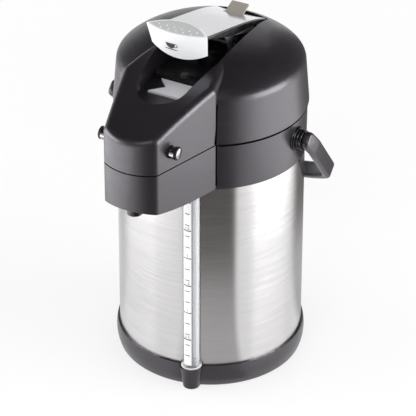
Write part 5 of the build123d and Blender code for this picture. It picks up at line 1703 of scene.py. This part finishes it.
@dataclass
class Studio:
    """Pale floor, soft lamps, white surroundings and the camera."""

    floor_radius: float = 9.0
    floor_tone: float = 0.9
    floor_mottle: float = 1.01
    floor_white: Band = (0.72, 1.0, 0.30, 0.9)
    screen_radius: float = 0.22
    screen_height: float = 0.42
    skirt_radius: float = 0.088
    skirt_lift: float = 0.0004
    screen_tone: Triple = (0.068, 0.062, 0.058)
    screen_foot: Band = (0.5, 0.97, 0.0, 0.05)
    bands: tuple[tuple[float, Band], ...] = (
        (1.0, (-2.0, 12.0, 51.0, 56.0)),
        (0.9, (124.0, 137.0, 172.0, 186.0)),
        (0.4, (-112.0, -100.0, -84.0, -70.0)),
    )
    ceiling: Band = (1.0, 0.03, -0.1, 0.42)
    fill: Band = (0.85, 0.4, 0.0, 0.9)
    middle: Vector = field(default_factory=lambda: Vector((0, 0, 0.17)))
    lamps: tuple[SoftBox, ...] = (
        SoftBox("key_right", 100, 12, 1.3, 1.1, 0.9, 19),
        SoftBox("fill_left", -62, 12, 1.4, 1.3, 0.8, 16),
        SoftBox("back_low", 200, 28, 1.5, 0.9, 0.8, 1.4),
        SoftBox("front_high", 10, 48, 1.4, 0.5, 0.4, 3.0),
    )
    panels: tuple[LightTable, ...] = (
        LightTable("table_right", 112, 0.66, 1.0, 0.55, 2.4),
        LightTable("table_left", -54, 0.68, 1.1, 0.55, 3.6),
    )
    azimuth: float = 28.47
    elevation: float = 31.0
    distance: float = 2.4
    lens_px: float = 2711.0
    yaw: float = 0.069
    pitch: float = 0.70
    roll: float = 0.15
    frame_px: float = 416.0

    def lay_floor(self) -> None:
        """Lays a pale floor that keeps the pot's shadow and turns white further out."""
        pen = Pen("pale_floor")
        where = pen.node("TexCoord").outputs["Object"]
        far = pen.node("VectorMath", operation="LENGTH")
        pen.feed(far.inputs[0], where)
        mottled = pen.span(pen.noise(where, 6, 3), 0, 1)
        tone = self.floor_tone
        cloth = pen.node("BsdfDiffuse")
        pen.feed(cloth.inputs["Color"], pen.mix(mottled, (tone,) * 3, (tone * self.floor_mottle,) * 3))
        path = pen.node("LightPath")
        seen = pen.sum("MAXIMUM", path.outputs["Is Camera Ray"], path.outputs["Is Glossy Ray"])
        seen = pen.sum("MAXIMUM", seen, path.outputs["Is Transmission Ray"])
        share = pen.sum("MULTIPLY", seen, pen.span(far.outputs["Value"], *self.floor_white))
        top = pen.blend(share, cloth, pen.node("Emission"))
        back = pen.node("NewGeometry").outputs["Backfacing"]
        pen.finish(pen.blend(back, top, pen.node("BsdfTransparent")))
        shape = bmesh.new()
        bmesh.ops.create_circle(shape, cap_ends=True, segments=96, radius=self.floor_radius)
        as_object("floor", shape, pen.made)
        LOG.info("laid the floor")

    def stand_screen(self) -> None:
        """Stands a dark screen and skirt round the pot that only reflections show, as the steel's bands."""
        shape = bmesh.new()
        bmesh.ops.create_circle(shape, segments=96, radius=self.screen_radius)
        rim = shape.edges[:]
        skirt = self.skirt_radius / self.screen_radius
        for lift, spread in ((self.screen_height, 1.0), (self.skirt_lift, skirt)):
            grown = bmesh.ops.extrude_edge_only(shape, edges=rim)["geom"]
            far = picked(grown, bmesh.types.BMVert)
            bmesh.ops.scale(shape, vec=(spread, spread, 1), verts=far)
            bmesh.ops.translate(shape, vec=(0, 0, lift), verts=far)
        pen = Pen("dark_screen")
        split = pen.node("SeparateXYZ")
        pen.feed(split.inputs[0], pen.node("TexCoord").outputs["Object"])
        front = pen.sum("MULTIPLY", split.outputs["Y"], -1.0)
        turn = pen.sum("MULTIPLY", pen.sum("ARCTAN2", split.outputs["X"], front), 180 / math.pi)
        cover: object = 0.0
        for weight, (start, full, still, end) in self.bands:
            rise = pen.span(turn, 0.0, weight, start, full)
            fall = pen.span(turn, weight, 0.0, still, end)
            cover = pen.sum("MAXIMUM", cover, pen.sum("MINIMUM", rise, fall))
        cover = pen.sum("MULTIPLY", cover, pen.span(split.outputs["Z"], *self.screen_foot))
        dark = pen.node("Emission")
        pen.feed(dark.inputs["Color"], self.screen_tone)
        pen.finish(pen.blend(cover, pen.node("BsdfTransparent"), dark))
        screen = as_object("screen", shape, pen.made)
        for kind in ("camera", "diffuse", "transmission", "volume_scatter", "shadow"):
            setattr(screen, f"visible_{kind}", False)
        LOG.info("stood the screen")

    def light_room(self) -> None:
        """Fills the room with an even soft light, seen as plain white, and adds the lamps."""
        pen = Pen("soft_room", room=True)
        bpy.context.scene.world = pen.made
        split, path = pen.node("SeparateXYZ"), pen.node("LightPath")
        pen.feed(split.inputs[0], pen.node("TexCoord").outputs["Generated"])
        light, shine, white = pen.node("Background"), pen.node("Background"), pen.node("Background")
        for shader in (light, shine, white):
            pen.feed(shader.inputs["Color"], (1.0, 1.0, 1.0))
        pen.feed(light.inputs["Strength"], pen.span(split.outputs["Z"], *self.fill))
        pen.feed(shine.inputs["Strength"], pen.span(split.outputs["Z"], *self.ceiling, curve="SMOOTHSTEP"))
        seen = pen.sum("MAXIMUM", path.outputs["Is Camera Ray"], path.outputs["Is Transmission Ray"])
        unseen = pen.blend(path.outputs["Is Glossy Ray"], light, shine)
        pen.finish(pen.blend(seen, unseen, white))
        for lamp in self.lamps:
            lamp.hang(self.middle)
        for panel in self.panels:
            panel.lay()

    def set_camera(self) -> None:
        """Sets the camera a little to the right of the beak, looking down at the pot."""
        data = bpy.data.cameras.new("view")
        data.sensor_width = 36.0
        data.lens = self.lens_px / self.frame_px * data.sensor_width
        data.clip_start, data.clip_end = 0.05, 50
        camera = bpy.data.objects.new("view", data)
        camera.location = self.middle + direction(self.azimuth, self.elevation) * self.distance
        back = direction(self.azimuth + self.yaw, self.elevation + self.pitch)
        turn = back.to_track_quat("Z", "Y").to_matrix() @ Matrix.Rotation(math.radians(self.roll), 3, "Z")
        camera.rotation_mode = "QUATERNION"
        camera.rotation_quaternion = turn.to_quaternion()
        bpy.context.scene.collection.objects.link(camera)
        bpy.context.scene.camera = camera
        LOG.info("set the camera")

    def build(self) -> None:
        """Builds the studio."""
        bpy.context.scene.view_settings.view_transform = "Standard"
        self.lay_floor()
        self.stand_screen()
        self.light_room()
        self.set_camera()


def main() -> None:
    """Builds every sub-assembly in order, then the studio."""
    logging.basicConfig(level=logging.INFO, format="%(message)s")
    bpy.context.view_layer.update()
    for part in (
        BaseUnit(),
        SteelBody(),
        SightGauge(),
        CollarHead(),
        FlipLid(),
        PumpLever(),
        ReleaseButtons(),
        BailHandle(),
        Studio(),
    ):
        LOG.info("building %s", type(part).__name__)
        part.build()


if __name__ == "__main__":
    main()
